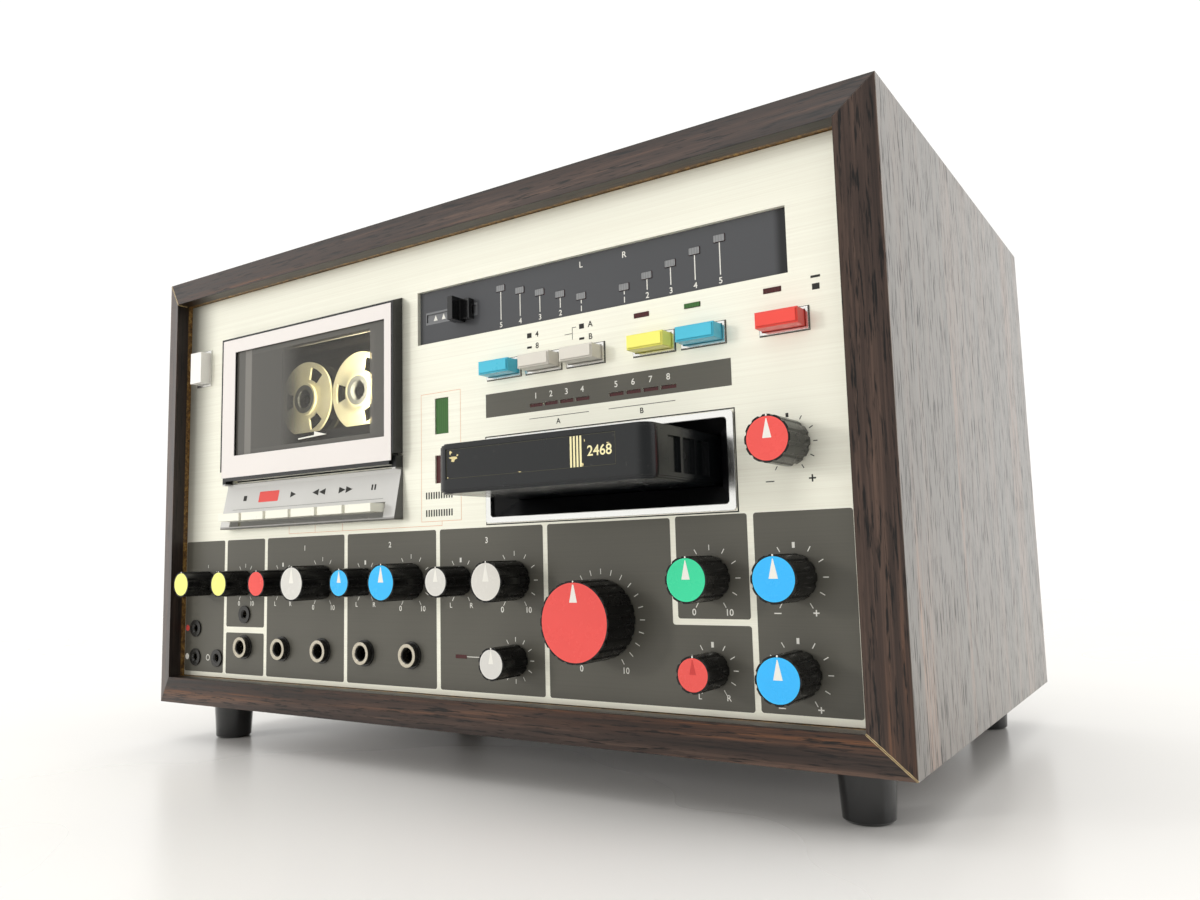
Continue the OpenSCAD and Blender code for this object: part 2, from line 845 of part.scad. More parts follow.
module front_panel() {
    color("gainsboro")
        difference() {
            translate([0, panel_y, floor_z + inner_h / 2])
                slab(inner_w - 2 * panel_gap, panel_t, inner_h - 2 * panel_gap);
            for (c = control_spots) {
                on_panel(c[0], c[1]) translate([0, -1, 0]) rod(bush_r + skin, panel_t + 2);
            }
            for (j = large_jack_spots) {
                on_panel(j[0], j[1]) translate([0, -1, 0]) rod(large_neck_r + skin, panel_t + 2);
            }
            for (j = small_jack_spots) {
                on_panel(j[0], j[1]) translate([0, -1, 0]) rod(small_neck_r + skin, panel_t + 2);
            }
            for (x = button_spots) {
                on_panel(x, button_z) translate([0, -1, 0]) slab(frame_w - 1, panel_t + 2, frame_h - 1);
            }
            lamp_spots_small() lamp_window(lamp_w, lamp_h);
            track_spots() lamp_window(track_w, track_h);
            on_panel(green_x, green_z) lamp_window(green_w, green_h);
            on_panel(green_x, red_z) lamp_window(green_w, red_h);
            on_panel(level_mid, level_z) translate([0, -1, 0]) slab(level_span, panel_t + 2, level_h);
            on_panel(slot_mid, slot_z) translate([0, -1, 0]) slab(slot_w + 2, panel_t + 2, slot_h + 2);
            on_panel((well_x0 + well_x1) / 2, (well_z0 + well_z1) / 2)
                translate([0, -1, 0]) slab(well_w, panel_t + 2, well_h);
            on_panel(door_mid, key_slot_z + key_slot_h / 2)
                translate([0, -1, 0]) slab(6 * key_pitch, panel_t + 2, key_slot_h);
            on_panel(eject_mid, eject_z)
                translate([0, -1, 0]) slab(eject_w + 2 * button_fit, panel_t + 2, eject_h + 2 * button_fit);
        }
}

module level_window() {
    color("dimgray")
        difference() {
            on_panel(level_mid, level_z)
                translate([0, panel_t + skin, 0]) slab(level_span + 6, level_t, level_h + 6);
            level_spots() translate([0, panel_t, 0]) lamp_window(led_w, led_h);
            on_panel(slider_left + slider_slot / 2, level_z)
                translate([0, panel_t - 1, 0]) slab(slider_slot, level_t + 2, 4.4);
        }
}

// The clear and coloured lenses of the lamps, each a block with a small flange behind its window
module lens(w, h, front) {
    translate([0, front, 0]) slab(w, lens_l, h);
}

module led_lenses() {
    color("firebrick") {
        level_spots() lens(led_w, led_h, panel_t - lens_proud);
        track_spots() lens(track_w, track_h, 0.4);
        lamp_spots_small() lens(lamp_w, lamp_h, -lens_proud);
        on_panel(green_x, green_z) lens(green_w, green_h, 0.8);
        on_panel(green_x, red_z) lens(green_w, red_h, 0.8);
    }
}

// The level slider's finger piece at the right end of its slot, with a raised fin
module level_slider() {
    grip_w = 12;
    color("black")
        on_panel(slider_left + slider_slot - grip_w / 2 - 1.5, level_z - 0.2) {
            translate([0, panel_t - nip - 3.6, 0]) slab(grip_w, 3.6, 9.4);
            translate([-1, panel_t - nip - 9, 0]) slab(3, 9, 11);
            translate([0, panel_t - nip - 1, 0]) slab(5, level_t + 5, 4);
        }
}

// ---------------------------------------------------------------- knobs

// A fluted knob on its shaft, with the coloured cap let into its front
module knob(spot) {
    r = spot[2][0];
    len = spot[2][1];
    flutes = round(r * 1.35);
    on_panel(spot[0], spot[1]) {
        color("black")
            difference() {
                translate([0, -knob_gap, 0])
                    outwards(len - knob_gap)
                        fluted_circle(r, flutes);
                translate([0, -len - 1, 0]) rod(r - knob_rim, cap_well + 1);
                translate([0, knob_floor + cap_well - len, 0]) rod(r - knob_rim - flute_depth, len);
            }
        color("black")
            difference() {
                translate([0, -len + cap_well + knob_floor - 1, 0])
                    rod(shaft_r + 1.4, len - cap_well - knob_floor - nut_t - 1);
                translate([0, -len + cap_well + knob_floor - 2, 0]) rod(shaft_r + skin, len + 2);
            }
        color("silver")
            translate([0, -len + cap_well + knob_floor + skin, 0])
                rod(shaft_r, len - cap_well - knob_floor + panel_t + pot_t - 2.4);
        color("red")
            translate([0, -len, 0]) rod(r - knob_rim - skin, cap_t);
    }
}

// A circle with evenly spaced round grooves
module fluted_circle(r, n) {
    difference() {
        circle(r);
        for (i = [0:n - 1]) {
            rotate(i * 360 / n + 180 / n)
                translate([r - flute_depth + flute_r, 0]) circle(flute_r);
        }
    }
}

// A potentiometer behind the panel: body, threaded bush and nut, with the shaft's bore through them
module potentiometer() {
    difference() {
        union() {
            translate([0, panel_t + skin, 0]) rod(pot_r, pot_t);
            translate([0, -nut_t, 0]) rod(bush_r, panel_t + nut_t + 1);
            translate([0, -skin, 0]) rotate([90, 0, 0]) cylinder(r = nut_r, h = nut_t, $fn = 6);
            translate([-pot_r * 0.7, panel_t + 3, -pot_r - pot_tab]) cube([pot_r * 1.4, 1.6, pot_tab + 2]);
        }
        translate([0, -nut_t - 1, 0]) rod(shaft_r + shaft_fit, panel_t + pot_t + nut_t - 1);
    }
}

module potentiometers() {
    color("slategray")
        for (c = control_spots) {
            on_panel(c[0], c[1]) potentiometer();
        }
}

module mode_selector() { knob(mode_spot); }
module earphone_volume_knob() { knob(earphone_spot); }
module mic1_pan_knob() { knob(mic1_pan_spot); }
module mic1_volume_knob() { knob(mic1_volume_spot); }
module mic2_pan_knob() { knob(mic2_pan_spot); }
module mic2_volume_knob() { knob(mic2_volume_spot); }
module wireless_pan_knob() { knob(wireless_pan_spot); }
module wireless_volume_knob() { knob(wireless_volume_spot); }
module tuning_knob() { knob(tuning_spot); }
module master_volume_knob() { knob(master_spot); }
module echo_knob() { knob(echo_spot); }
module balance_knob() { knob(balance_spot); }
module treble_knob() { knob(treble_spot); }
module bass_knob() { knob(bass_spot); }
module speed_knob() { knob(speed_spot); }

// ---------------------------------------------------------------- jacks

large_neck_r = large_bore_r + 1.4;
small_neck_r = small_bore_r + 1.1;
ring_t = 2.6;
small_ring_t = 0.9;
washer_t = 0.8;

// A jack: a body behind the panel, a neck through it, a ring in front of its seat and a plug hole with a
// flared mouth. The seat is the thickness of what lies between the ring and the panel.
module jack(bore_r, bore_l, neck_r, ring_r, ring, body, seat) {
    mouth = 0.7;
    difference() {
        union() {
            translate([0, -seat - ring, 0]) rod(ring_r, ring - skin);
            translate([0, -seat - ring / 2, 0]) rod(neck_r, seat + ring / 2 + panel_t + 1);
            translate([0, panel_t + skin, 0]) slab(body, bore_l - ring - seat - panel_t + 2, body);
        }
        translate([0, -seat - ring - 1, 0]) rod(bore_r, bore_l + 1);
        translate([0, -seat - ring, 0])
            rotate([-90, 0, 0])
                cylinder(r1 = bore_r + mouth, r2 = bore_r, h = mouth);
    }
}

module jack_sockets() {
    color("silver")
        for (j = large_jack_spots) {
            on_panel(j[0], j[1])
                jack(large_bore_r, large_bore_l, large_neck_r, large_ring_r, ring_t, 13, washer_t + skin);
        }
    color("black")
        for (j = large_jack_spots) {
            on_panel(j[0], j[1])
                translate([0, -washer_t, 0])
                    difference() {
                        rod(washer_r, washer_t - skin);
                        translate([0, -1, 0]) rod(large_neck_r + skin, washer_t + 2);
                    }
        }
    color("dimgray")
        for (j = small_jack_spots) {
            on_panel(j[0], j[1])
                jack(small_bore_r, small_bore_l, small_neck_r, small_ring_r, small_ring_t, 9, 0);
        }
}

// ---------------------------------------------------------------- push buttons

// The frame round a button: a rim on the panel and a collar through it
module button_bezels() {
    color("silver")
        for (x = button_spots) {
            on_panel(x, button_z)
                difference() {
                    union() {
                        translate([0, -frame_proud - skin, 0]) slab(frame_w, frame_proud, frame_h);
                        translate([0, -frame_proud, 0])
                            slab(frame_w - 1 - 2 * skin, frame_proud + panel_t + 4, frame_h - 1 - 2 * skin);
                    }
                    translate([0, -2, 0])
                        slab(button_w + 2 * button_fit, panel_t + 10, button_h + 2 * button_fit);
                }
        }
    color("gainsboro")
        on_panel(eject_mid, eject_z)
            difference() {
                translate([0, -0.6, 0]) slab(eject_w + 3, 0.6 - skin, eject_h + 3);
                translate([0, -2, 0]) slab(eject_w + 2 * button_fit, 4, eject_h + 2 * button_fit);
            }
}

// A push button: a block with a slightly raised front field, guided by its frame
module push_button(x) {
    edge = 0.6;
    on_panel(x, button_z) {
        translate([0, edge - button_out, 0]) slab(button_w, button_out + panel_t + 7 - edge, button_h);
        translate([0, -button_out, 0]) slab(button_w - 2 * edge, edge + 1, button_h - 2 * edge);
    }
}

module program_button() { color("deepskyblue") push_button(button_spots[0]); }
module tape_button() { color("ivory") push_button(button_spots[1]); }
module channel_button() { color("ivory") push_button(button_spots[2]); }
module cue_button() { color("yellow") push_button(button_spots[3]); }
module start_button() { color("deepskyblue") push_button(button_spots[4]); }
module power_button() { color("red") push_button(button_spots[5]); }

module eject_button() {
    eject_out = 6.1;
    color("ivory")
        on_panel(eject_mid, eject_z)
            translate([0, -eject_out, 0]) slab(eject_w, eject_out + panel_t + 12, eject_h);
}

// ---------------------------------------------------------------- cartridge slot

slot_corner_r = 1.5;

module cartridge_bezel() {
    color("silver")
        on_panel(slot_mid, slot_z)
            difference() {
                union() {
                    translate([0, -skin, 0])
                        outwards(slot_proud)
                            round_rect(slot_w + 2 * slot_rim, slot_h + 2 * slot_rim - 0.4, slot_corner_r);
                    translate([0, -skin * 2, 0])
                        inwards(panel_t) round_rect(slot_w + 1.9, slot_h + 1.9, slot_corner_r);
                }
                translate([0, -3, 0]) inwards(panel_t + 6) round_rect(slot_w, slot_h, slot_corner_r);
            }
}

// The flared mouth: a ring that narrows from the bezel's opening to the tunnel, in four flat slopes
module mouth_void() {
    reach = 0.01;
    low = tunnel_low - cartridge_z;
    high = low + tunnel_h;
    z0 = slot_z - cartridge_z - slot_h / 2;
    z1 = slot_z - cartridge_z + slot_h / 2;
    intersection() {
        rotate([90, 0, 90])
            translate([0, 0, -slot_w / 2])
                linear_extrude(slot_w)
                    polygon([[-reach, z0], [mouth_d, low], [mouth_d, high], [-reach, z1]]);
        linear_extrude(slot_h * 2, center = true)
            polygon([
                [-slot_w / 2, -reach], [slot_w / 2, -reach],
                [tunnel_w / 2, mouth_d], [-tunnel_w / 2, mouth_d]
            ]);
    }
}

// Moulded mouth and tunnel on a sheet deck with four legs, and the tape head behind the cartridge
module cartridge_guide() {
    mouth_y = panel_back + skin;
    tunnel_l = tunnel_back - mouth_y;
    color("black")
        difference() {
            union() {
                translate([slot_mid, mouth_y, floor_z + slot_z]) slab(guide_outer_w, mouth_d, guide_outer_h);
                translate([slot_mid, mouth_y, floor_z + cartridge_z])
                    slab(tunnel_w + 2 * guide_wall, tunnel_l, tunnel_h + 2 * guide_wall);
            }
            translate([slot_mid, mouth_y, floor_z + cartridge_z]) mouth_void();
            translate([slot_mid, mouth_y + mouth_d - 0.01, floor_z + cartridge_z])
                slab(tunnel_w, tunnel_l, tunnel_h);
        }
    color("silver")
        difference() {
            union() {
                translate([slot_mid, tunnel_front + 4, floor_z + deck_top - skin - deck_t])
                    translate([-deck_w / 2, 0, 0]) cube([deck_w, deck_back - tunnel_front - 4, deck_t]);
                for (sx = [-1, 1], y = [tunnel_front + 8, deck_back - 8]) {
                    translate([slot_mid + sx * (deck_w / 2 - 4), y, floor_z + chassis_t + skin])
                        cylinder(r = 3, h = deck_top - deck_t - chassis_t);
                }
                translate([capstan_x, capstan_y, floor_z + deck_top - deck_t - 2])
                    cylinder(r = capstan_r + 3, h = deck_t + 3.5);
            }
            translate([capstan_x, capstan_y, floor_z + deck_top - deck_t - 10])
                cylinder(r = capstan_r + shaft_fit, h = 40);
            translate([motor_x, motor_y, floor_z + deck_top - deck_t - 10])
                cylinder(r = 4, h = 20);
        }
    color("silver") tape_head();
    color("silver") flywheel_bracket();
}

// The playback head on its post, just behind the cartridge's open edge
module tape_head() {
    translate([slot_mid - 8, cartridge_back + nip, floor_z + cartridge_z]) slab(14, 9, 12);
    translate([slot_mid - 8, cartridge_back + 4.8, floor_z + deck_top + skin])
        cylinder(r = 3, h = cartridge_z - deck_top - 2);
}

// The strap under the flywheel that carries the lower end of its shaft
module flywheel_bracket() {
    strap = 2 * flywheel_r + 16;
    drop = deck_top - deck_t - flywheel_z;
    bottom = floor_z + flywheel_z - 2 - deck_bracket_t;
    translate([capstan_x, capstan_y, bottom]) {
        translate([-strap / 2, -6, 0]) cube([strap, 12, deck_bracket_t]);
        for (sx = [-1, 1]) {
            translate([sx * (strap / 2 - 3), 0, 0])
                cylinder(r = 3, h = drop + 2 + deck_bracket_t - 2 * skin);
        }
    }
}

module capstan_flywheel() {
    bottom = floor_z + flywheel_z;
    top = floor_z + cartridge_z + cartridge_t / 2 - 2;
    color("silver")
        translate([capstan_x, capstan_y, 0]) {
            difference() {
                translate([0, 0, bottom]) cylinder(r = flywheel_r, h = flywheel_t);
                translate([0, 0, bottom + 4]) difference() {
                    cylinder(r = flywheel_r - 6, h = flywheel_t);
                    translate([0, 0, -1]) cylinder(r = 8, h = flywheel_t + 2);
                }
            }
            translate([0, 0, bottom - 2 + skin * 4]) cylinder(r = capstan_r, h = top - bottom + 2 - skin * 4);
        }
}

module deck_motor() {
    color("dimgray")
        translate([motor_x, motor_y, floor_z + deck_top])
            difference() {
                union() {
                    cylinder(r = motor_r, h = motor_h);
                    translate([0, 0, motor_h]) cylinder(r = motor_r - 5, h = 2);
                }
                translate([0, 0, -1]) cylinder(r = 1.5 + shaft_fit, h = motor_h - 6);
            }
}

module motor_pulley() {
    color("goldenrod")
        translate([motor_x, motor_y, 0]) {
            translate([0, 0, belt_z + floor_z]) cylinder(r = pulley_r, h = belt_h);
            translate([0, 0, belt_z + floor_z - 1.5]) cylinder(r = pulley_r + 2, h = 1.5);
            translate([0, 0, belt_z + floor_z + belt_h]) cylinder(r = pulley_r + 2, h = 1.5);
            translate([0, 0, belt_z + floor_z]) cylinder(r = 1.5, h = deck_top - belt_z + 20);
        }
}

// Points on n equal chords round a wheel of radius r at x, between two angles, none of them cutting into it
function wheel_arc(r, x, from, to, n) = [
    for (i = [0:n])
        let (a = from + (to - from) * i / n, q = r / cos((to - from) / n / 2))
            [x + q * cos(a), q * sin(a)]
];

// The outline of a belt pressed out by d from two wheels: big at the origin, small at distance c along x
module belt_outline(big, small, c, d) {
    a = 90 - asin((big - small) / c);
    polygon(concat(
        wheel_arc(small + d, c, -a, a, 10),
        wheel_arc(big + d, 0, a, 360 - a, 24)
    ));
}

module drive_belt() {
    dx = motor_x - capstan_x;
    dy = motor_y - capstan_y;
    c = sqrt(dx * dx + dy * dy);
    play = 0.1;
    color("black")
        translate([capstan_x, capstan_y, floor_z + belt_z + 0.4])
            rotate([0, 0, atan2(dy, dx)])
                linear_extrude(belt_h - 0.8)
                    difference() {
                        belt_outline(flywheel_r, pulley_r, c, play + belt_t);
                        belt_outline(flywheel_r, pulley_r, c, play);
                    }
}

cartridge_corner_r = 6;
cartridge_edge = 1.4;

// The plan of the cartridge, drawn in by d all round: x across, y along it from its front
module cartridge_plan(d) {
    translate([0, cartridge_l / 2]) round_rect(cartridge_w - 2 * d, cartridge_l - 2 * d, cartridge_corner_r - d);
}

// Two moulded half shells with stepped edges, side grips, a label recess and openings at the back
module cartridge() {
    half = cartridge_t / 2;
    grip_y = 13;
    grip_l = 34;
    rib_w = 2;
    color("black")
        translate([slot_mid, cartridge_front, floor_z + cartridge_z])
            difference() {
                union() {
                    translate([0, 0, cartridge_edge - half])
                        linear_extrude(cartridge_t - 2 * cartridge_edge) cartridge_plan(0);
                    translate([0, 0, cartridge_edge / 2 - half])
                        linear_extrude(cartridge_t - cartridge_edge) cartridge_plan(cartridge_edge * 0.3);
                    translate([0, 0, -half]) linear_extrude(cartridge_t) cartridge_plan(cartridge_edge);
                }
                // label recess on the front and the top
                translate([-4, -1, 1.6]) slab(cartridge_w - 20, 1.3, cartridge_t - 8);
                // side grips between the ribs
                for (sx = [-1, 1], i = [0:2]) {
                    translate([sx * cartridge_w / 2, grip_y + i * (grip_l / 3), 0])
                        translate([0, 0, -0.5]) slab(3, grip_l / 3 - rib_w, cartridge_t - 7);
                }
                // openings for the head, the pinch roller and the capstan at the back
                for (x = [-8, 28]) {
                    translate([x, cartridge_l - 10, 0]) slab(20, 12, cartridge_t - 6);
                }
            }
}

// ---------------------------------------------------------------- cassette deck

// The side view of the key housing: y from the panel, z above the panel's lower edge
module housing_profile() {
    polygon([
        [-skin, housing_top], [-1.2, housing_top - 0.4], [-1.2, housing_top - 2.5],
        [-housing_out, housing_z + 1.4], [-housing_out, housing_z], [-skin, housing_z]
    ]);
}

// A sloping front with one long slot for the keys and two ears with the hinge pins of the door
module key_housing() {
    opening_w = 6 * key_pitch - 1;
    color("lightgray") {
        difference() {
            on_panel(door_mid - door_w / 2, 0)
                rotate([90, 0, 90]) linear_extrude(door_w) housing_profile();
            on_panel(door_mid, key_slot_z + key_slot_h / 2)
                translate([0, -housing_out - 1, 0]) slab(opening_w, housing_out + 2, key_slot_h);
            on_panel(door_mid, (housing_z + housing_top) / 2 + 6)
                translate([0, -0.6, 0]) slab(door_w - 10, 2, 8);
        }
        for (sx = [-1, 1]) {
            translate([door_mid + sx * (door_w - hinge_ear) / 2, hinge_y - 1.8, 0]) {
                translate([0, 0, floor_z + (housing_top - 1 + hinge_z + 2) / 2])
                    slab(hinge_ear, 1.8 + panel_y - hinge_y - skin, hinge_z + 3 - housing_top);
            }
            translate([door_mid + sx * (door_w / 2 - hinge_ear / 2), hinge_y, floor_z + hinge_z])
                rotate([0, -sx * 90, 0]) cylinder(r = hinge_r, h = 5);
        }
    }
}

// The side view of the door: y from the panel, z above the panel's lower edge. Its lower back edge
// follows an arc about the hinge, so that it turns clear of the panel.
module door_profile() {
    heel = [
        for (a = [-90, -60, -30, 0])
            [hinge_y - panel_y + hinge_back_r * cos(a), max(door_z, door_z + hinge_dz + hinge_back_r * sin(a))]
    ];
    polygon(concat(
        heel,
        [
            [-door_gap, door_z + door_h + door_flare],
            [-door_out, door_z + door_h], [-door_out, door_z]
        ]
    ));
}

// The inner mask behind the window, and the two channels and the shelf that hold the cassette
module cassette_holder() {
    rail_h = cassette_h * 2 / 3;
    rail_x = cassette_w / 2 + nip;
    y0 = cassette_y - nip - rail_t;
    y1 = cassette_y + cassette_t + nip + rail_t;
    difference() {
        translate([window_mid, mask_y, floor_z + window_z + window_h / 2]) slab(window_w + 5, mask_t, window_h + 5);
        translate([window_mid, mask_y - 1, floor_z + window_z + window_h / 2]) slab(mask_w, mask_t + 2, mask_h);
    }
    for (sx = [-1, 1]) {
        translate([window_mid + sx * (rail_x + rail_t / 2), mask_y + mask_t / 2, floor_z + shell_z + rail_h / 2])
            slab(rail_t, y1 - mask_y - mask_t / 2, rail_h);
        for (y = [y0, y1 - rail_t]) {
            translate([window_mid + sx * (rail_x + rail_t - rail_lip / 2 - 0.1), y, floor_z + shell_z + rail_h / 2])
                slab(rail_lip, rail_t, rail_h);
        }
        translate([window_mid + sx * (rail_x - 6), mask_y + mask_t / 2, floor_z + shell_z - nip - rail_t / 2])
            slab(14.8, y1 - mask_y - mask_t / 2, rail_t);
        translate([window_mid + sx * (rail_x + rail_t / 2), mask_y + mask_t / 2, floor_z + shell_z - nip / 2])
            slab(rail_t, y1 - mask_y - mask_t / 2, 2 * nip + 1);
    }
}

// The door: a thick dark frame that tilts forward about two pins at its lower corners
module cassette_door() {
    notch_h = hinge_dz + 3;
    color("black") cassette_holder();
    color("whitesmoke")
        difference() {
            on_panel(door_mid - door_w / 2, 0)
                rotate([90, 0, 90]) linear_extrude(door_w) door_profile();
            on_panel(window_mid, window_z + window_h / 2) {
                translate([0, -door_out - 1, 0]) slab(window_w, door_out + 2, window_h);
                translate([0, -door_out + 1, 0]) slab(window_w + 4, door_out, window_h + 4);
            }
            for (sx = [-1, 1]) {
                translate([door_mid + sx * (door_w - hinge_ear) / 2, front_y - 10, floor_z + door_z + notch_h / 2 - 1])
                    slab(hinge_ear + 2 * nip, 20, notch_h + 2);
                translate([door_mid + sx * (door_w / 2), hinge_y, floor_z + hinge_z])
                    rotate([0, -sx * 90, 0]) cylinder(r = hinge_r + shaft_fit, h = hinge_ear + 5);
            }
        }
}

module cassette_window() {
    color("gray", 0.5)
        on_panel(window_mid, window_z + window_h / 2)
            translate([0, -door_out + 1 + skin, 0])
                slab(window_w + 4 - 2 * skin, window_t, window_h + 4 - 2 * skin);
}

// The deck behind the door: a box open to the front, bearings for the spindles and cheeks for the keys' shaft
module cassette_well() {
    cx = (well_x0 + well_x1) / 2;
    cz = (well_z0 + well_z1) / 2;
    depth = well_back - panel_back;
    cheek_x = 3 * key_pitch + 1;
    color("black")
        difference() {
            union() {
                translate([cx, panel_back + skin, floor_z + cz])
                    difference() {
                        slab(well_w + 2 * well_wall, depth + well_wall, well_h + 2 * well_wall);
                        translate([0, -1, 0]) slab(well_w, depth + 1, well_h);
                    }
                for (x = [window_mid - hub_pitch / 2, window_mid + hub_pitch / 2]) {
                    translate([x, well_back + well_wall, floor_z + hub_z]) rod(spindle_r + 3, 6);
                }
                for (sx = [-1, 1]) {
                    translate([door_mid + sx * cheek_x, panel_back + skin, floor_z + (pivot_z - 6 + well_z0) / 2])
                        slab(cheek_t, pivot_in + 6, well_z0 - pivot_z + 6);
                }
            }
            for (x = [window_mid - hub_pitch / 2, window_mid + hub_pitch / 2]) {
                translate([x, well_back - 1, floor_z + hub_z]) rod(spindle_r + shaft_fit, 20);
            }
        }
    color("silver")
        for (x = [window_mid - hub_pitch / 2, window_mid + hub_pitch / 2]) {
            translate([x, cassette_y + cassette_t - spindle_in, floor_z + hub_z])
                rod(spindle_r, spindle_in + 3 + well_wall + 8);
            translate([x, well_back - 1.6, floor_z + hub_z]) rod(hub_bore_r, 1.4);
        }
    color("silver")
        translate([door_mid, pivot_y, floor_z + pivot_z])
            rotate([0, 90, 0])
                cylinder(r = pivot_r, h = 2 * cheek_x + cheek_t, center = true);
}

reel_window_w = 94;
reel_window_h = 46;
tape_rim = [22, 12, 15]; // the thick tape edge: how much narrower it is, its depth and its height

// The cassette: a thin shell, open at its window and at its hubs, with the thick rim at the tape edge
module cassette_shell() {
    wall = 1.5;
    cz = shell_z + cassette_h / 2;
    color("dimgray")
        difference() {
            union() {
                translate([window_mid, cassette_y, floor_z + cz]) slab(cassette_w, cassette_t, cassette_h);
                translate([window_mid, cassette_y + (cassette_t - tape_rim[1]) / 2, floor_z + shell_z])
                    translate([0, 0, tape_rim[2] / 2])
                    slab(cassette_w - tape_rim[0], tape_rim[1], tape_rim[2]);
            }
            translate([window_mid, cassette_y + wall, floor_z + cz + 4])
                slab(cassette_w - 2 * wall, cassette_t - 2 * wall, cassette_h - 14);
            translate([window_mid, cassette_y - 1, floor_z + hub_z + 1])
                slab(reel_window_w, wall + 2, reel_window_h);
            for (x = [window_mid - hub_pitch / 2, window_mid + hub_pitch / 2]) {
                translate([x, cassette_y - 5, floor_z + hub_z]) rod(hub_ring_r + nip, cassette_t + 10);
            }
        }
}

// A reel with three windows in its flange, on its hub, with the bore that drops over the spindle
module reel(x) {
    color("moccasin")
        translate([x, reel_y, floor_z + hub_z])
            difference() {
                union() {
                    rod(reel_r, reel_t);
                    translate([0, -1.4, 0]) rod(9, 1.4 + reel_t);
                    rod(hub_ring_r, cassette_t - 3.2);
                }
                translate([0, -3, 0]) rod(hub_bore_r, cassette_t + 4);
                for (i = [0:2]) {
                    rotate([0, i * 120 + 30, 0]) reel_cutout();
                }
            }
}

// A window in the reel's flange, between two radii and two straight sides
module reel_cutout() {
    translate([0, -1, 0])
        inwards(reel_t + 2)
            intersection() {
                difference() {
                    circle(reel_r - 3);
                    circle(11);
                }
                polygon([[0, 0], [-7.4, 24], [7.4, 24]]);
            }
}

module reel_left() { reel(window_mid - hub_pitch / 2); }
module reel_right() { reel(window_mid + hub_pitch / 2); }

// A key: a wide finger piece on a narrow lever with a bore for the pivot shaft
module deck_key(i) {
    cx = key_x0 + i * key_pitch;
    finger_l = key_out - 2;
    color("ivory")
        difference() {
            union() {
                on_panel(cx, key_z + key_h / 2) {
                    translate([0, -key_out, 0]) slab(key_w, finger_l, key_h);
                    translate([0, -key_out + finger_l - 1, -0.3]) slab(lever_w, pivot_in + 4, key_h - 0.8);
                }
                translate([cx, pivot_y, floor_z + pivot_z])
                    rotate([0, 90, 0]) cylinder(r = pivot_r + 2.4, h = lever_w, center = true);
            }
            translate([cx, pivot_y, floor_z + pivot_z])
                rotate([0, 90, 0]) cylinder(r = pivot_r + shaft_fit, h = lever_w + 2, center = true);
        }
}

module key_stop() { deck_key(0); }
module key_record() { deck_key(1); }
module key_play() { deck_key(2); }
module key_rewind() { deck_key(3); }
module key_forward() { deck_key(4); }
module key_pause() { deck_key(5); }

// ---------------------------------------------------------------- parts

cabinet_top();
cabinet_bottom();
cabinet_left();
cabinet_right();
back_panel();
back_screws();
feet();
front_panel();
chassis();
transformer();
main_board();
level_window();
led_lenses();
level_slider();
cartridge_bezel();
cartridge_guide();
cartridge();
deck_motor();
motor_pulley();
drive_belt();
capstan_flywheel();
jack_sockets();
potentiometers();
rear_fittings();
button_bezels();
key_housing();
cassette_well();
cassette_shell();
reel_left();
reel_right();
cassette_door();
cassette_window();
eject_button();
key_stop();
key_record();
key_play();
key_rewind();
key_forward();
key_pause();
program_button();
tape_button();
channel_button();
cue_button();
start_button();
power_button();
mode_selector();
earphone_volume_knob();
mic1_pan_knob();
mic1_volume_knob();
mic2_pan_knob();
mic2_volume_knob();
wireless_pan_knob();
wireless_volume_knob();
tuning_knob();
master_volume_knob();
echo_knob();
balance_knob();
treble_knob();
bass_knob();
speed_knob();
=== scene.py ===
import math

import bpy
import bmesh
from mathutils import Matrix, Vector


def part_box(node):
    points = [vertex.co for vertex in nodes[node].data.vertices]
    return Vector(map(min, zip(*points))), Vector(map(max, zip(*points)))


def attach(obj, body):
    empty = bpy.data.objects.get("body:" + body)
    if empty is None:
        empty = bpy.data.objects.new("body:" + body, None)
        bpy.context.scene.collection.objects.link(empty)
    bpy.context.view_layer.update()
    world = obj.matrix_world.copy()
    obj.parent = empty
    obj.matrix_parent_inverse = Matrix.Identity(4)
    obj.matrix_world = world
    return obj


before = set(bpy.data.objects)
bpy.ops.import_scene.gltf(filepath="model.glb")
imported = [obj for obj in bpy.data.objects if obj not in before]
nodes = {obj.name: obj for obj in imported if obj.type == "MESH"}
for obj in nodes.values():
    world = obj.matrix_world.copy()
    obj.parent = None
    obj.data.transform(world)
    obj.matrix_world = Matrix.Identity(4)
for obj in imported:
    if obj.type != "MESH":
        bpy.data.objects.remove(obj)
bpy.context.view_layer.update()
scene = bpy.context.scene
scene.view_settings.view_transform = "Standard"
scene.view_settings.look = "None"

MM = 0.001
PANEL = -108.0  # y of the front of the aluminium panel, in mm
RISE = 22.0  # height of the cabinet's lower face above the floor, in mm
SLOT_PAINTED_GLOW = 0.25  # painted light: a faint glow in the keys' slot, standing in for light that gets into it


def lin(hexa):
    """A colour written as sRGB hex, as linear numbers with full opacity."""
    h = hexa.lstrip("#")
    out = []
    for i in (0, 2, 4):
        c = int(h[i : i + 2], 16) / 255
        out.append(c / 12.92 if c <= 0.04045 else ((c + 0.055) / 1.055) ** 2.4)
    return tuple(out) + (1.0,)


def scaled(colour, k):
    """A colour k times as bright, cut off at full brightness."""
    return tuple(min(1.0, c * k) for c in colour[:3]) + (colour[3],)


# -------------------- materials


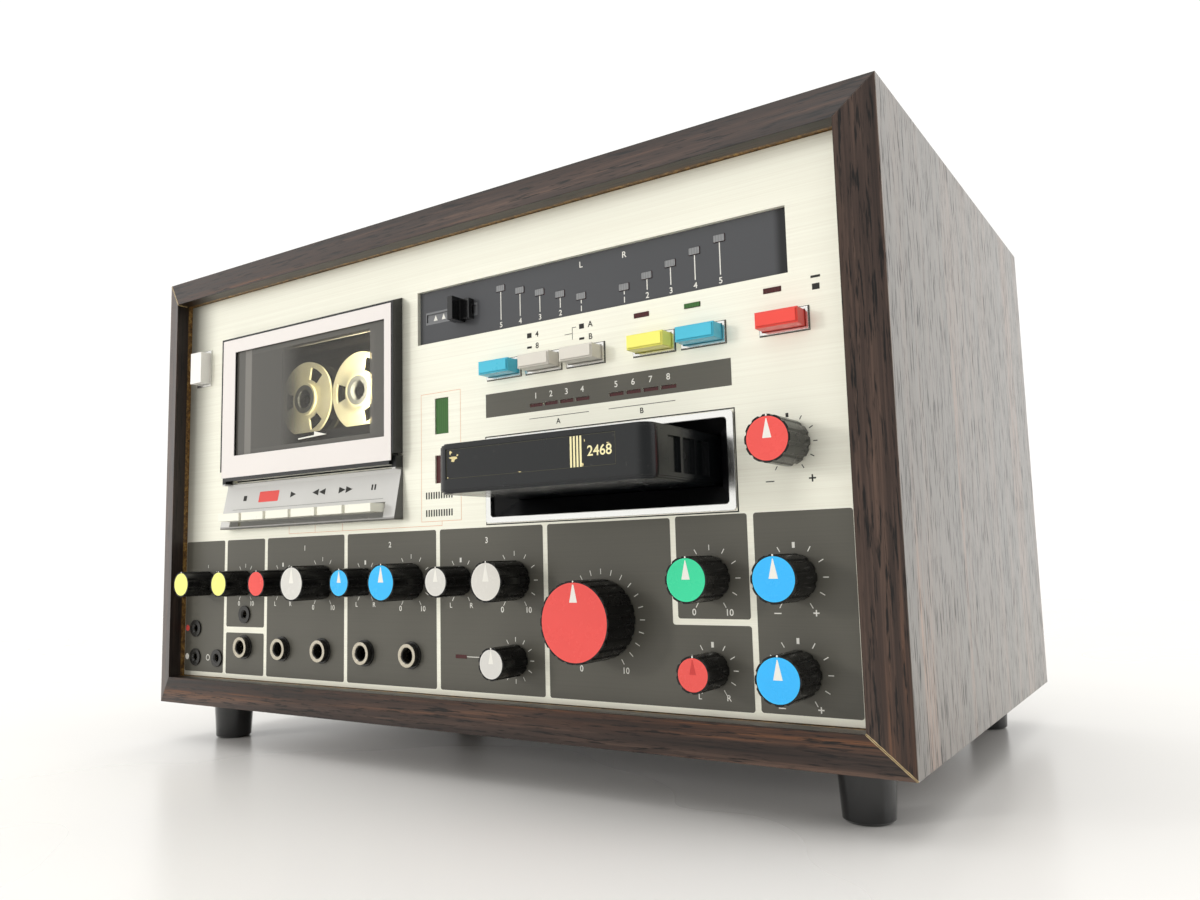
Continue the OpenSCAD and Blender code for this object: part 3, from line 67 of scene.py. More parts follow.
class Stuff:
    """A node material with its shader, and short ways to add the nodes of its detail."""

    def __init__(self, name):
        self.m = bpy.data.materials.new(name)
        self.m.use_nodes = True
        self.n = self.m.node_tree.nodes
        self.l = self.m.node_tree.links
        self.n.clear()
        self.p = self.n.new("ShaderNodeBsdfPrincipled")
        self.l.new(self.p.outputs[0], self.n.new("ShaderNodeOutputMaterial").inputs["Surface"])
        self.co = self.n.new("ShaderNodeTexCoord").outputs["Object"]

    def put(self, socket, value):
        """Links a socket to another one, or sets it to a number, a colour or a colour's hex."""
        if hasattr(value, "links"):
            self.l.new(value, socket)
        else:
            socket.default_value = lin(value) if isinstance(value, str) else value

    def set(self, **values):
        """Sets or links sockets of the shader, by their short names."""
        names = {
            "base": "Base Color",
            "metal": "Metallic",
            "rough": "Roughness",
            "spec": "Specular IOR Level",
            "coat": "Coat Weight",
            "coat_rough": "Coat Roughness",
            "aniso": "Anisotropic",
            "alpha": "Alpha",
            "glow": "Emission Strength",
            "glow_colour": "Emission Color",
        }
        for k, v in values.items():
            self.put(self.p.inputs[names[k]], v)

    def map(self, scale=(1, 1, 1), loc=(0, 0, 0)):
        m = self.n.new("ShaderNodeMapping")
        self.l.new(self.co, m.inputs["Vector"])
        m.inputs["Scale"].default_value = scale
        m.inputs["Location"].default_value = loc
        return m.outputs[0]

    def noise(self, vec=None, scale=1.0, detail=3.0, rough=0.5, warp=0.0):
        t = self.n.new("ShaderNodeTexNoise")
        self.l.new(self.co if vec is None else vec, t.inputs["Vector"])
        t.inputs["Scale"].default_value = scale
        t.inputs["Detail"].default_value = detail
        t.inputs["Roughness"].default_value = rough
        t.inputs["Distortion"].default_value = warp
        return t.outputs["Fac"]

    def wave(self, scale, warp, detail):
        """Even bands across x."""
        t = self.n.new("ShaderNodeTexWave")
        t.bands_direction = "X"
        self.l.new(self.co, t.inputs["Vector"])
        t.inputs["Scale"].default_value = scale
        t.inputs["Distortion"].default_value = warp
        t.inputs["Detail"].default_value = detail
        return t.outputs["Fac"]

    def ramp(self, fac, *stops):
        """A colour ramp through stops of (position, colour)."""
        r = self.n.new("ShaderNodeValToRGB")
        self.l.new(fac, r.inputs[0])
        e = r.color_ramp.elements
        while len(e) > 1:
            e.remove(e[-1])
        for i, (pos, colour) in enumerate(stops):
            s = e[0] if i == 0 else e.new(pos)
            s.position = pos
            s.color = lin(colour)
        return r.outputs[0]

    def mix(self, fac, a, b):
        m = self.n.new("ShaderNodeMix")
        m.data_type = "RGBA"
        self.put(m.inputs[0], fac)
        self.put(m.inputs[6], a)
        self.put(m.inputs[7], b)
        return m.outputs[2]

    def math(self, op, a, b=0.0):
        m = self.n.new("ShaderNodeMath")
        m.operation = op
        self.put(m.inputs[0], a)
        self.put(m.inputs[1], b)
        return m.outputs[0]

    def times(self, first, *others):
        """The product of all values."""
        for other in others:
            first = self.math("MULTIPLY", first, other)
        return first

    def off(self, value, centre):
        """How far a value lies from a centre."""
        return self.math("ABSOLUTE", self.math("SUBTRACT", value, centre))

    def near(self, value, centre, half):
        """1 where a value lies within half of a centre, 0 elsewhere."""
        return self.math("LESS_THAN", self.off(value, centre), half)

    def above(self, value, limit):
        """1 above a limit, 0 below it."""
        return self.math("GREATER_THAN", value, limit)

    def below(self, value, limit):
        """1 below a limit, 0 above it."""
        return self.math("LESS_THAN", value, limit)

    def radius(self, a, b):
        """The length of the vector (a, b)."""
        return self.math("SQRT", self.math("ADD", self.times(a, a), self.times(b, b)))

    def range(self, value, a, b, to0=0.0, to1=1.0, smooth=False):
        """A value's run from a to b, as one from to0 to to1."""
        m = self.n.new("ShaderNodeMapRange")
        m.clamp = True
        if smooth:
            m.interpolation_type = "SMOOTHSTEP"
        self.put(m.inputs["Value"], value)
        m.inputs["From Min"].default_value = a
        m.inputs["From Max"].default_value = b
        m.inputs["To Min"].default_value = to0
        m.inputs["To Max"].default_value = to1
        return m.outputs[0]

    def xyz(self, vec=None):
        s = self.n.new("ShaderNodeSeparateXYZ")
        self.l.new(self.co if vec is None else vec, s.inputs[0])
        return s.outputs

    def rounded(self, radius):
        """The normal with edges rounded to a radius."""
        b = self.n.new("ShaderNodeBevel")
        b.samples = 4
        b.inputs["Radius"].default_value = radius
        return b.outputs[0]

    def edge_mask(self, radius, sharp=0.35):
        """1 along edges within the radius, 0 elsewhere."""
        g = self.n.new("ShaderNodeNewGeometry")
        d = self.n.new("ShaderNodeVectorMath")
        d.operation = "DOT_PRODUCT"
        self.l.new(self.rounded(radius), d.inputs[0])
        self.l.new(g.outputs["Normal"], d.inputs[1])
        return self.range(d.outputs["Value"], 1.0, 1.0 - sharp)

    def done(self, height, strength, distance, edge=None):
        """Adds the bumps of a height and edges that catch the light as a moulded or filed edge does, and gives the
        finished material."""
        b = self.n.new("ShaderNodeBump")
        b.inputs["Strength"].default_value = strength
        b.inputs["Distance"].default_value = distance
        self.l.new(height, b.inputs["Height"])
        if edge:
            self.l.new(self.rounded(edge), b.inputs["Normal"])
        self.l.new(b.outputs[0], self.p.inputs["Normal"])
        return self.m


def plastic(name, colour, rough, grain, vary, edge, coat=0.0, spec=0.5, dust=0.0, inside=None):
    """Moulded plastic: fine skin grain, a slow drift of colour, smudges in the gloss and softened edges, whose colour
    is painted lighter, partly as if worn and partly as a painted highlight. Below and behind inside = (z, y) it is
    painted grey and glows faintly: painted light and shade in the keys' slot."""
    s = Stuff(name)
    c = lin(colour)
    slow = s.noise(scale=35, detail=4, rough=0.6)
    fine = s.noise(scale=1400, detail=2)
    smudge = s.noise(scale=90, detail=5, rough=0.65)
    base = s.mix(slow, scaled(c, 1 - vary), scaled(c, 1 + vary))
    # edges painted lighter: partly worn, partly a painted highlight
    wear_and_highlight = s.edge_mask(edge * 1.6)
    base = s.mix(s.times(wear_and_highlight, 0.16), base, scaled(c, 1.5))
    if dust:
        spots = s.range(s.noise(scale=420, detail=3, rough=0.7), 0.66, 0.74)
        base = s.mix(s.times(spots, dust), base, "#a8a49c")
    if inside:
        top, front = inside
        _, y, z = s.xyz()[:3]
        # painted light and shade: in the slot the colour turns grey and glows faintly
        slot_painted_light = s.times(s.below(z, top), s.above(y, front))
        base = s.mix(slot_painted_light, base, "#a3a19b")
        s.set(glow=s.times(slot_painted_light, SLOT_PAINTED_GLOW), glow_colour="#bcbab2")
    r = s.range(smudge, 0.25, 0.75, rough * 0.82, rough * 1.22)
    s.set(base=base, rough=r, spec=spec, coat=coat, coat_rough=0.12)
    return s.done(fine, grain, 0.0001, edge=edge)


def metal(name, colour, rough, scale, strength, vary, edge=0.0003, metallic=1.0):
    """Metal with fine drawn lines across it, uneven polish and filed edges."""
    s = Stuff(name)
    c = lin(colour)
    lines = s.noise(s.map(scale), detail=4, rough=0.7)
    slow = s.noise(scale=14, detail=4, rough=0.6)
    marks = s.noise(scale=160, detail=4, rough=0.7)
    base = s.mix(lines, scaled(c, 1 - vary), scaled(c, 1 + vary))
    base = s.mix(s.range(slow, 0.3, 0.7, 0.0, 0.12), base, scaled(c, 0.8))
    r = s.math("ADD", s.range(lines, 0.2, 0.8, rough * 0.75, rough * 1.2), s.range(marks, 0.5, 0.8, 0.0, 0.08))
    s.set(base=base, rough=r, metal=metallic)
    return s.done(lines, strength, 0.00005, edge=edge)


def timber(name, grain, side, reveal, gap):
    """Rosewood-look vinyl on chipboard. grain is the axis of its figure; reveal = (axis, limit, sign) is the inner
    face, painted darker as painted shade, whose strip beside the panel is the bare brown board; gap is x + z along a
    mitre that has opened a little, whose raw edge shows on the front. The outer sides have a glossy film, and their
    colour is mixed towards a pale grey veil: a painted glare."""
    bare_y = -0.1104  # the inner faces are bare board behind this y
    front_y = -0.1115  # the opened mitre shows in front of this y
    flank_x = 0.2148  # a face further out than this is an outer side
    s = Stuff(name)
    along = {"x": (1.2, 34, 34), "z": (34, 34, 1.2)}[grain]
    fine = {"x": (9, 520, 520), "z": (520, 520, 9)}[grain]
    pores = {"x": (70, 850, 850), "z": (880, 880, 62)}[grain]
    big = {"x": (0.5, 9, 9), "z": (9, 9, 0.5)}[grain]
    figure = s.noise(s.map(along, loc=side), scale=1.6, detail=6, rough=0.62, warp=0.9)
    streak = s.noise(s.map(fine, loc=side), detail=5, rough=0.7)
    bands = s.noise(s.map(big, loc=side), scale=1.4, detail=3, rough=0.5, warp=1.2)
    hair = s.noise(s.map(pores), detail=3, rough=0.65)
    both = s.math("ADD", s.times(figure, 0.55), s.times(streak, 0.45))
    tone = s.ramp(both, (0.34, "#170f0b"), (0.45, "#2e1e16"), (0.53, "#4b3021"), (0.59, "#7a4c2a"), (0.67, "#9b6433"))
    dark = s.ramp(both, (0.32, "#1a1412"), (0.50, "#3e302a"), (0.64, "#665044"))
    base = s.mix(s.range(bands, 0.42, 0.60, smooth=True), dark, tone)
    holes = s.range(hair, 0.36, 0.47)
    base = s.mix(holes, "#0f0a08", base)
    x, y, z = s.xyz()[:3]
    axis, limit, sign = reveal
    inner = s.range((x, y, z)[axis], limit - 0.0004 * sign, limit + 0.0004 * sign)
    depth = s.range(y, bare_y - 0.0002, bare_y + 0.0002)
    chips = s.ramp(s.noise(scale=380, detail=5, rough=0.8), (0.35, "#2a1c0e"), (0.5, "#7d5a2a"), (0.68, "#c9a15a"))
    # painted shade: the inner faces are darkened towards black
    shade = s.mix(s.times(inner, 0.75), base, "#0b0908")
    base = s.mix(s.times(inner, depth), shade, chips)
    off = s.off(s.math("ADD", x, z), gap)
    rag = s.times(s.noise(scale=500, detail=4), 0.0007)
    raw = s.times(s.below(off, s.math("ADD", rag, 0.0002)), s.below(y, front_y))
    line = s.times(s.below(off, 0.00016), raw)
    base = s.mix(raw, base, s.mix(s.noise(scale=900, detail=3), "#8a6a3c", "#e2cfa0"))
    base = s.mix(line, base, "#120d09")
    rub = s.times(s.edge_mask(0.0006, 0.4), s.range(s.noise(scale=120, detail=4), 0.45, 0.65))
    base = s.mix(s.times(rub, 0.35), base, "#8a6a4c")
    flank = s.above(s.math("ABSOLUTE", x), flank_x)
    film = s.times(flank, s.range(holes, 0.0, 1.0, 0.08, 0.92))
    # painted glare: the outer sides' colour is mixed towards a pale grey veil
    veil = s.mix(s.range(figure, 0.40, 0.64, smooth=True), "#989082", "#ab9a88")
    base = s.mix(s.times(flank, s.range(holes, 0.0, 1.0, 0.0, 0.30)), base, veil)
    s.set(base=base, rough=s.range(streak, 0.3, 0.7, 0.32, 0.46), spec=0.42, coat=film, coat_rough=0.3)
    return s.done(s.math("ADD", streak, s.times(holes, 0.7)), 0.22, 0.00012, edge=0.0004)


def brushed_panel(name):
    """Brushed aluminium: level hair lines and longer streaks, a warm cast, and painted shade along its left edge,
    which fades to the right and is fainter low down."""
    left, panel_shade_to_x = -0.2, -0.172  # the painted shade runs from the one x to the other
    s = Stuff(name)
    c = lin("#fffceb")
    hair = s.noise(s.map((5, 5, 2600)), detail=3, rough=0.75)
    long = s.noise(s.map((2.2, 5, 900)), detail=4, rough=0.65)
    slow = s.noise(scale=9, detail=3)
    both = s.math("ADD", s.times(hair, 0.6), s.times(long, 0.4))
    base = s.mix(s.range(both, 0.3, 0.7), scaled(c, 0.87), scaled(c, 1.05))
    base = s.mix(s.range(slow, 0.35, 0.7, 0.0, 0.10), base, "#d8d2c2")
    x, _, z = s.xyz()[:3]
    # painted shade: the panel is darkened beside the left upright, where its shadow falls
    painted_shade_near_left = s.times(s.range(x, left, panel_shade_to_x, 0.74, 0.0, smooth=True), s.range(z, 0.10, 0.20, 0.5, 1.0))
    base = s.mix(painted_shade_near_left, base, "#47453f")
    s.set(base=base, metal=0.32, rough=s.range(both, 0.3, 0.7, 0.28, 0.46), spec=0.5, aniso=0.45)
    return s.done(both, 0.12, 0.00004, edge=0.0002)


def smoked_pane(name):
    """The cassette window: smoked plastic, clear in front of the right reel and printed grey round the edge, with a
    lighter stripe in the left band. Over the cassette's left part it is made darker and less clear: painted shade."""
    mid_x, mid_z = -0.0880, 0.1880  # middle of the part inside the grey band
    half_x, half_z = 0.0463, 0.0262  # half its width and height
    pane_shade_from_x, pane_shade_to_x = -0.1120, -0.0925  # the painted shade fades from the one to the other
    stripe_x0, stripe_x1 = -0.1406, -0.1348
    s = Stuff(name)
    smear = s.noise(scale=22, detail=5, rough=0.6)
    x, _, z = s.xyz()[:3]
    wide = s.range(s.off(x, mid_x), half_x, half_x + 0.0003, 1.0, 0.0)
    high = s.range(s.off(z, mid_z), half_z, half_z + 0.0003, 1.0, 0.0)
    inside = s.times(wide, high)
    fades = s.range(x, pane_shade_from_x, pane_shade_to_x, 1.0, 0.0, smooth=True)
    # the smoke's own opacity is 0.28; the rise to 0.88 on the left is painted shade
    smoke_and_painted_shade = s.range(s.math("ADD", fades, s.times(smear, 0.04)), 0.0, 1.0, 0.28, 0.88)
    starts = s.range(x, stripe_x0, stripe_x0 + 0.0004)
    stripe = s.times(starts, s.range(x, stripe_x1 - 0.0004, stripe_x1, 1.0, 0.0))
    band = s.mix(stripe, "#5f5d58", "#827f79")
    veil = s.math("ADD", s.times(inside, smoke_and_painted_shade), s.times(s.math("SUBTRACT", 1.0, inside), 0.84))
    s.set(base=s.mix(inside, band, "#55534e"), rough=s.range(smear, 0.3, 0.8, 0.03, 0.09), spec=0.55, alpha=veil)
    return s.done(s.noise(scale=30, detail=2), 0.03, 0.0002)


def door_stuff(name):
    """Black gloss frame with the grey mask behind its window, whose left band has a lighter stripe."""
    mask_y0, mask_y1 = -0.1111, -0.1094  # the mask lies between these
    mask_x, mask_half = -0.089, 0.0616
    stripe_x0, stripe_x1 = -0.1424, -0.1360
    s = Stuff(name)
    x, y, _ = s.xyz()[:3]
    slow = s.noise(scale=50, detail=4)
    mask = s.times(s.above(y, mask_y0), s.below(y, mask_y1), s.near(x, mask_x, mask_half))
    starts = s.range(x, stripe_x0, stripe_x0 + 0.0004)
    stripe = s.times(starts, s.range(x, stripe_x1 - 0.0004, stripe_x1, 1.0, 0.0))
    grey = s.mix(slow, "#a5a19a", "#b0aca5")
    grey = s.mix(s.times(stripe, 0.7), grey, "#dedad2")
    black = s.mix(slow, "#0b0b0c", "#161617")
    s.set(base=s.mix(mask, black, grey), rough=s.math("ADD", s.times(mask, 0.3), 0.13), coat=0.3)
    return s.done(s.noise(scale=900, detail=2), 0.02, 0.0001, edge=0.0004)


def housing_stuff(name):
    """Silver moulding with black hinge ears. Painted light and shade: a grey slot that glows faintly, a right end
    painted dark grey and a lower lip painted dark.
    """
    ears_z = 0.1438  # the ears stand above this
    slot_z0, slot_z1 = 0.1197, 0.1274
    slot_x, slot_half = -0.0923, 0.0603
    skin_y = -0.1128  # the slot's walls lie behind this
    painted_shade_end_x = -0.02455  # the right end, painted dark grey as painted shade, lies beyond this
    lip_z = 0.1199  # the lip lies below this
    s = Stuff(name)
    x, y, z = s.xyz()[:3]
    slow = s.noise(scale=40, detail=4)
    silver = s.mix(slow, "#c4c3c0", "#d2d1ce")
    slot = s.times(s.above(z, slot_z0), s.below(z, slot_z1))
    inner = s.times(slot, s.near(x, slot_x, slot_half), s.above(y, skin_y))
    dark = s.math("MAXIMUM", s.above(z, ears_z), inner)
    # painted shade: the right end is painted dark grey
    silver = s.mix(s.above(x, painted_shade_end_x), silver, "#5c5c5a")
    # painted shade: the lower lip is painted dark, less so close under the slot
    lip = s.times(s.below(z, lip_z), s.range(z, lip_z - 0.0010, lip_z - 0.0006, 1.0, 0.45))
    silver = s.mix(lip, silver, "#4a4945")
    # painted light: the slot's walls are grey rather than black and glow faintly
    black = s.mix(inner, "#0e0e0e", "#5c5a55")
    s.set(glow=s.times(inner, SLOT_PAINTED_GLOW), glow_colour="#bcbab2")
    s.set(base=s.mix(dark, silver, black), rough=s.range(slow, 0.3, 0.7, 0.34, 0.42))
    return s.done(s.noise(scale=1500, detail=2), 0.06, 0.0001, edge=0.0003)


def jack_stuff(name):
    """Nickel bush rings; washers and small jacks are black, and the sides of the rings are painted black as painted
    shade.
    """
    ring_y, back_y = -0.1112, -0.1079  # nickel in front of the one and behind the other
    s = Stuff(name)
    y = s.xyz()[1]
    # painted shade: the rings' sides fall outside this mask and are painted black
    bright = s.math("MAXIMUM", s.below(y, ring_y), s.above(y, back_y))
    grit = s.noise(scale=420, detail=4)
    nickel = s.mix(grit, "#a79f8e", "#d9d2c2")
    black = s.mix(grit, "#161513", "#2a2926")
    s.set(base=s.mix(bright, black, nickel), metal=bright, rough=s.range(grit, 0.3, 0.7, 0.16, 0.3))
    return s.done(grit, 0.03, 0.00005, edge=0.0003)


def rear_stuff(name, face):
    """Black mouldings; nickel sockets in a red and a white row, and spring levers, a red one in each pair. face is
    the y of the back panel's outer face."""
    phono_x, phono_z, phono_step = -0.083, 0.097, 0.009  # middle of the four sockets, and half their spacing
    lever_x, lever_z, lever_step = -0.131, 0.095, 0.01
    s = Stuff(name)
    x, y, z = s.xyz()[:3]
    dx = s.math("SUBTRACT", s.off(x, phono_x), phono_step)
    dz = s.math("SUBTRACT", s.off(z, phono_z), phono_step)
    r = s.radius(dx, dz)
    proud = s.above(y, face + 0.0021)
    socket = s.times(s.below(r, 0.0052), proud)
    barrel = s.times(s.below(r, 0.0042), proud)
    grit = s.noise(scale=300, detail=4)
    black = s.mix(grit, "#111112", "#222222")
    ring = s.mix(s.above(x, phono_x), "#b3322c", "#d9d6cd")
    base = s.mix(barrel, s.mix(socket, black, ring), s.mix(grit, "#b9b4a6", "#d6d1c4"))
    lever = s.times(s.near(s.off(x, lever_x), lever_step, 0.0034), s.near(z, lever_z, 0.0049), proud)
    base = s.mix(lever, base, s.mix(grit, "#a82d28", "#bd3a33"))
    s.set(base=base, metal=barrel, rough=s.range(grit, 0.3, 0.7, 0.26, 0.42))
    return s.done(s.noise(scale=1200, detail=2), 0.04, 0.0001, edge=0.0003)


def reel_stuff(name, cx):
    """Translucent cream reel with a silver hub ring round a dark drive hole; the deck's lamp shines on it, and the
    cream also glows as painted light.
    """
    hub_z, hub_r, hole_r = 0.1885, 0.0078, 0.0046
    s = Stuff(name)
    x, _, z = s.xyz()[:3]
    r = s.radius(s.math("SUBTRACT", x, cx * MM), s.math("SUBTRACT", z, hub_z))
    cloud = s.noise(scale=120, detail=4, rough=0.6)
    cream = s.mix(cloud, "#f8eebb", "#fffae0")
    ring = s.below(r, hub_r)
    base = s.mix(ring, cream, "#8f9294")
    base = s.mix(s.below(r, hole_r), base, "#17171a")
    # painted light: the reel glows outside its hub ring, though it is no lamp
    painted_glow = s.math("SUBTRACT", 1.0, ring)
    s.set(base=base, rough=0.34, glow=s.times(painted_glow, 0.26), glow_colour=cream)
    return s.done(s.noise(scale=900, detail=2), 0.03, 0.0001, edge=0.0003)


def display_stuff(name):
    """The level window's smooth dark plastic, painted darker towards black at its right end as painted shade."""
    shade_x0, shade_x1 = 0.1704, 0.1744
    s = Stuff(name)
    slow = s.noise(scale=12, detail=2)
    fine = s.noise(scale=1800, detail=2)
    base = s.mix(slow, "#47484b", "#4f5053")
    # painted shade: the right end is darkened towards black
    base = s.mix(s.range(s.xyz()[0], shade_x0, shade_x1, 0.0, 0.9, smooth=True), base, "#121213")
    s.set(base=base, rough=s.range(fine, 0.3, 0.7, 0.36, 0.42), spec=0.4)
    return s.done(fine, 0.03, 0.00006, edge=0.0003)


def turned(name, colour, centre):
    """Metal turned on a lathe about an upright axis through centre: fine rings."""
    ring_rate = 9000.0  # radians of ring pattern per metre of radius
    rough = 0.28
    s = Stuff(name)
    c = lin(colour)
    x, y, _ = s.xyz(s.map(loc=(-centre[0], -centre[1], 0)))[:3]
    rings = s.math("SINE", s.times(s.radius(x, y), ring_rate))
    grit = s.noise(scale=300, detail=4)
    base = s.mix(grit, scaled(c, 0.85), scaled(c, 1.1))
    s.set(base=base, metal=1.0, rough=s.range(grit, 0.3, 0.7, rough * 0.8, rough * 1.3))
    return s.done(rings, 0.06, 0.00004, edge=0.0003)


def knob_stuff(name, cx, cz, length, cap_r, colour):
    """Black fluted knob with a coloured cap and its potentiometer's shaft, told apart by where they lie."""
    cap_depth, shaft_depth, shaft_r = 0.95, 3.2, 3.03  # mm behind the knob's tip, and mm of radius
    s = Stuff(name)
    cap = lin(colour)
    x, y, z = s.xyz()[:3]
    r = s.radius(s.math("SUBTRACT", x, cx * MM), s.math("SUBTRACT", z, (cz + RISE) * MM))
    tip = PANEL - length
    is_cap = s.times(s.below(y, (tip + cap_depth) * MM), s.below(r, (cap_r + 0.03) * MM))
    is_shaft = s.times(s.below(r, shaft_r * MM), s.above(y, (tip + shaft_depth) * MM))
    fine = s.noise(scale=1700, detail=2)
    slow = s.noise(scale=60, detail=4)
    smudge = s.noise(scale=140, detail=5, rough=0.7)
    rim = s.range(r, (cap_r - 0.7) * MM, cap_r * MM)
    cap_c = s.mix(slow, scaled(cap, 0.95), scaled(cap, 1.05))
    cap_c = s.mix(s.times(rim, 0.35), cap_c, scaled(cap, 1.35))
    black = s.mix(smudge, "#070708", "#0c0c0d")
    # edges painted lighter: partly worn, partly a painted highlight
    black = s.mix(s.times(s.edge_mask(0.00035), 0.2), black, "#4a4844")
    base = s.mix(is_shaft, s.mix(is_cap, black, cap_c), "#b9b7b0")
    s.set(base=base, rough=s.range(smudge, 0.25, 0.75, 0.20, 0.32), spec=0.3, coat=0.06, coat_rough=0.16)
    return s.done(fine, 0.05, 0.00008, edge=0.00025)


def paint(name, colour, rough, vary=0.05):
    """Screen-printed ink: a faint mottle and a little roughness."""
    s = Stuff(name)
    c = lin(colour)
    mottle = s.noise(scale=800, detail=3, rough=0.7)
    slow = s.noise(scale=24, detail=3)
    base = s.mix(mottle, scaled(c, 1 - vary), scaled(c, 1 + vary))
    base = s.mix(s.times(slow, 0.10), base, scaled(c, 1.25))
    s.set(base=base, rough=s.range(mottle, 0.3, 0.7, rough * 0.85, rough * 1.15), spec=0.4)
    return s.done(mottle, 0.04, 0.00004)


def field_ink(name, colour):
    """The dark printed fields: ink on brushed metal, which shows through as faint level lines."""
    s = Stuff(name)
    c = lin(colour)
    hair = s.noise(s.map((5, 5, 1900)), detail=3, rough=0.7)
    slow = s.noise(scale=11, detail=4)
    base = s.mix(hair, scaled(c, 0.86), scaled(c, 1.16))
    base = s.mix(s.range(slow, 0.3, 0.75, 0.0, 0.18), base, scaled(c, 1.3))
    s.set(base=base, rough=s.range(hair, 0.3, 0.7, 0.34, 0.46), spec=0.45, metal=0.15)
    return s.done(hair, 0.07, 0.00005)


def lens_stuff(name, colour, dark):
    """Ribbed clear plastic over a lamp that is off."""
    s = Stuff(name)
    rib = s.wave(scale=260, warp=0.4, detail=1)
    base = s.mix(s.range(rib, 0.2, 0.8, 0.0, 0.5), colour, dark)
    s.set(base=base, rough=0.3, spec=0.35, coat=0.1, coat_rough=0.1)
    return s.done(rib, 0.08, 0.0001, edge=0.00015)


MAT = {
    "wood_x": timber("rosewood_level_top", "x", (0.0, 0.0, 0.0), (2, 0.2532, -1), 0.053),
    "wood_xb": timber("rosewood_level_bottom", "x", (3.1, 1.7, 0.6), (2, 0.0368, 1), 0.237),
    "wood_l": timber("rosewood_upright_left", "z", (1.3, 4.0, 2.0), (0, -0.2002, 1), 0.053),
    "wood_r": timber("rosewood_upright_right", "z", (7.7, 2.2, 5.0), (0, 0.2002, -1), 0.237),
    "panel": brushed_panel("brushed_aluminium_panel"),
    "ink": field_ink("printed_dark_field", "#5b5951"),
    "window_dark": display_stuff("level_window_plastic"),
    "housing": housing_stuff("silver_moulding"),
    "flywheel": turned("turned_flywheel_steel", "#b5b6b5", (0.1184, -0.0178)),
    "red_lens": lens_stuff("dark_red_lens", "#4c1517", "#2c0a0b"),
    "green_lens": lens_stuff("green_lens", "#3a6a2e", "#2a5023"),
    "clear_lens": lens_stuff("grey_lens", "#8b8c8d", "#6f7072"),
    "smoke": smoked_pane("smoked_window_pane"),
    "door": door_stuff("door_moulding"),
    "jacks": jack_stuff("jack_nickel_and_black"),
    "reel_l": reel_stuff("reel_plastic_left", -110.25),
    "reel_r": reel_stuff("reel_plastic_right", -67.75),
    "rear": rear_stuff("rear_mouldings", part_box("back_panel")[1][1]),
}

# name, colour, roughness, variation
for key, row in {
    "white_ink": ("white_print", "#e9e7df", 0.5),
    "black_ink": ("black_print", "#24231f", 0.5),
    "orange_ink": ("orange_print", "#e3b08c", 0.5),
    "red_ink": ("red_print", "#e2514b", 0.45),
    "grey_ink": ("grey_print", "#8f8f8d", 0.45),
    "red_pointer": ("red_pointer_print", "#c63a37", 0.4),
    "strip": ("slider_strip", "#77787a", 0.4),
    "cream_ink": ("label_cream_print", "#f1e7b4", 0.5),
    "worn": ("label_worn_spots", "#e0d09a", 0.6, 0.2),
    "label_edge": ("label_paper_edge", "#4a4838", 0.6, 0.3),
}.items():
    MAT[key] = paint(*row)

# name, colour, roughness, grain, variation, radius of the edges; then what else differs
for key, row, more in (
    ("black_gloss", ("black_gloss_plastic", "#0c0c0d", 0.16, 0.015, 0.2, 0.0005), {"coat": 0.4}),
    ("black_matte", ("black_moulding", "#101012", 0.42, 0.08, 0.2, 0.0004), {}),
    (
        "cartridge",
        ("cartridge_shell_plastic", "#0c0f11", 0.24, 0.02, 0.15, 0.00022),
        {"coat": 0.1, "spec": 0.45, "dust": 0.05},
    ),
    ("white", ("white_gloss_plastic", "#e6e0dc", 0.22, 0.015, 0.02, 0.0003), {"coat": 0.2}),
    ("eject", ("eject_plastic", "#f3f1ec", 0.22, 0.015, 0.02, 0.0003), {"coat": 0.2}),
    # the keys' levers and the well are painted grey with a faint glow inside the slot: painted light and shade
    ("key", ("key_plastic", "#f1f0e2", 0.3, 0.03, 0.03, 0.0005), {"inside": (0.13, -0.111)}),
    ("well", ("cassette_well_plastic", "#101012", 0.42, 0.08, 0.2, 0.0004), {"inside": (0.1262, -0.106)}),
    ("button_blue", ("button_blue_plastic", "#4abfdb", 0.3, 0.06, 0.05, 0.0006), {}),
    ("button_cream", ("button_cream_plastic", "#dfdacf", 0.34, 0.06, 0.05, 0.0006), {}),
    ("button_yellow", ("button_yellow_plastic", "#fbf576", 0.32, 0.06, 0.04, 0.0006), {}),
    ("button_red", ("button_red_plastic", "#ee4a3f", 0.3, 0.05, 0.04, 0.0006), {}),
    ("rubber", ("belt_rubber", "#141312", 0.7, 0.2, 0.2, 0.0002), {"spec": 0.3}),
    ("board", ("circuit_board_lacquer", "#1d4a2b", 0.35, 0.1, 0.15, 0.0002), {}),
    ("press", ("pressed_fibre_board", "#5a4c3d", 0.68, 0.5, 0.2, 0.0003), {"spec": 0.25}),
):
    MAT[key] = plastic(*row, **more)

# name, colour, roughness, rate of the drawn lines, their bump, variation, radius of the edges, share of metal
for key, row in {
    "chrome": ("satin_chrome_rim", "#f1f1ee", 0.16, (40, 40, 40), 0.03, 0.04, 0.0004),
    "nickel": ("nickel_ring", "#c7bfae", 0.16, (300, 300, 300), 0.03, 0.08, 0.0004),
    "zinc": ("zinc_plated_sheet", "#a9adad", 0.34, (60, 60, 60), 0.06, 0.12),
    "dark_steel": ("transformer_laminations", "#3d3a38", 0.45, (10, 900, 10), 0.3, 0.2, 0.0003, 0.8),
    "motor": ("motor_can_steel", "#8f9193", 0.3, (20, 20, 500), 0.05, 0.08),
    "brass": ("turned_brass", "#b98f4a", 0.22, (30, 30, 1200), 0.08, 0.08),
    "pot": ("potentiometer_can", "#9a9c9b", 0.36, (80, 80, 80), 0.05, 0.1),
}.items():
    MAT[key] = metal(*row)


def dress(node, material):
    """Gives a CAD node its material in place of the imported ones."""
    ob = nodes[node]
    if not ob.material_slots:
        ob.data.materials.append(MAT[material])
    for slot in ob.material_slots:
        slot.material = MAT[material]


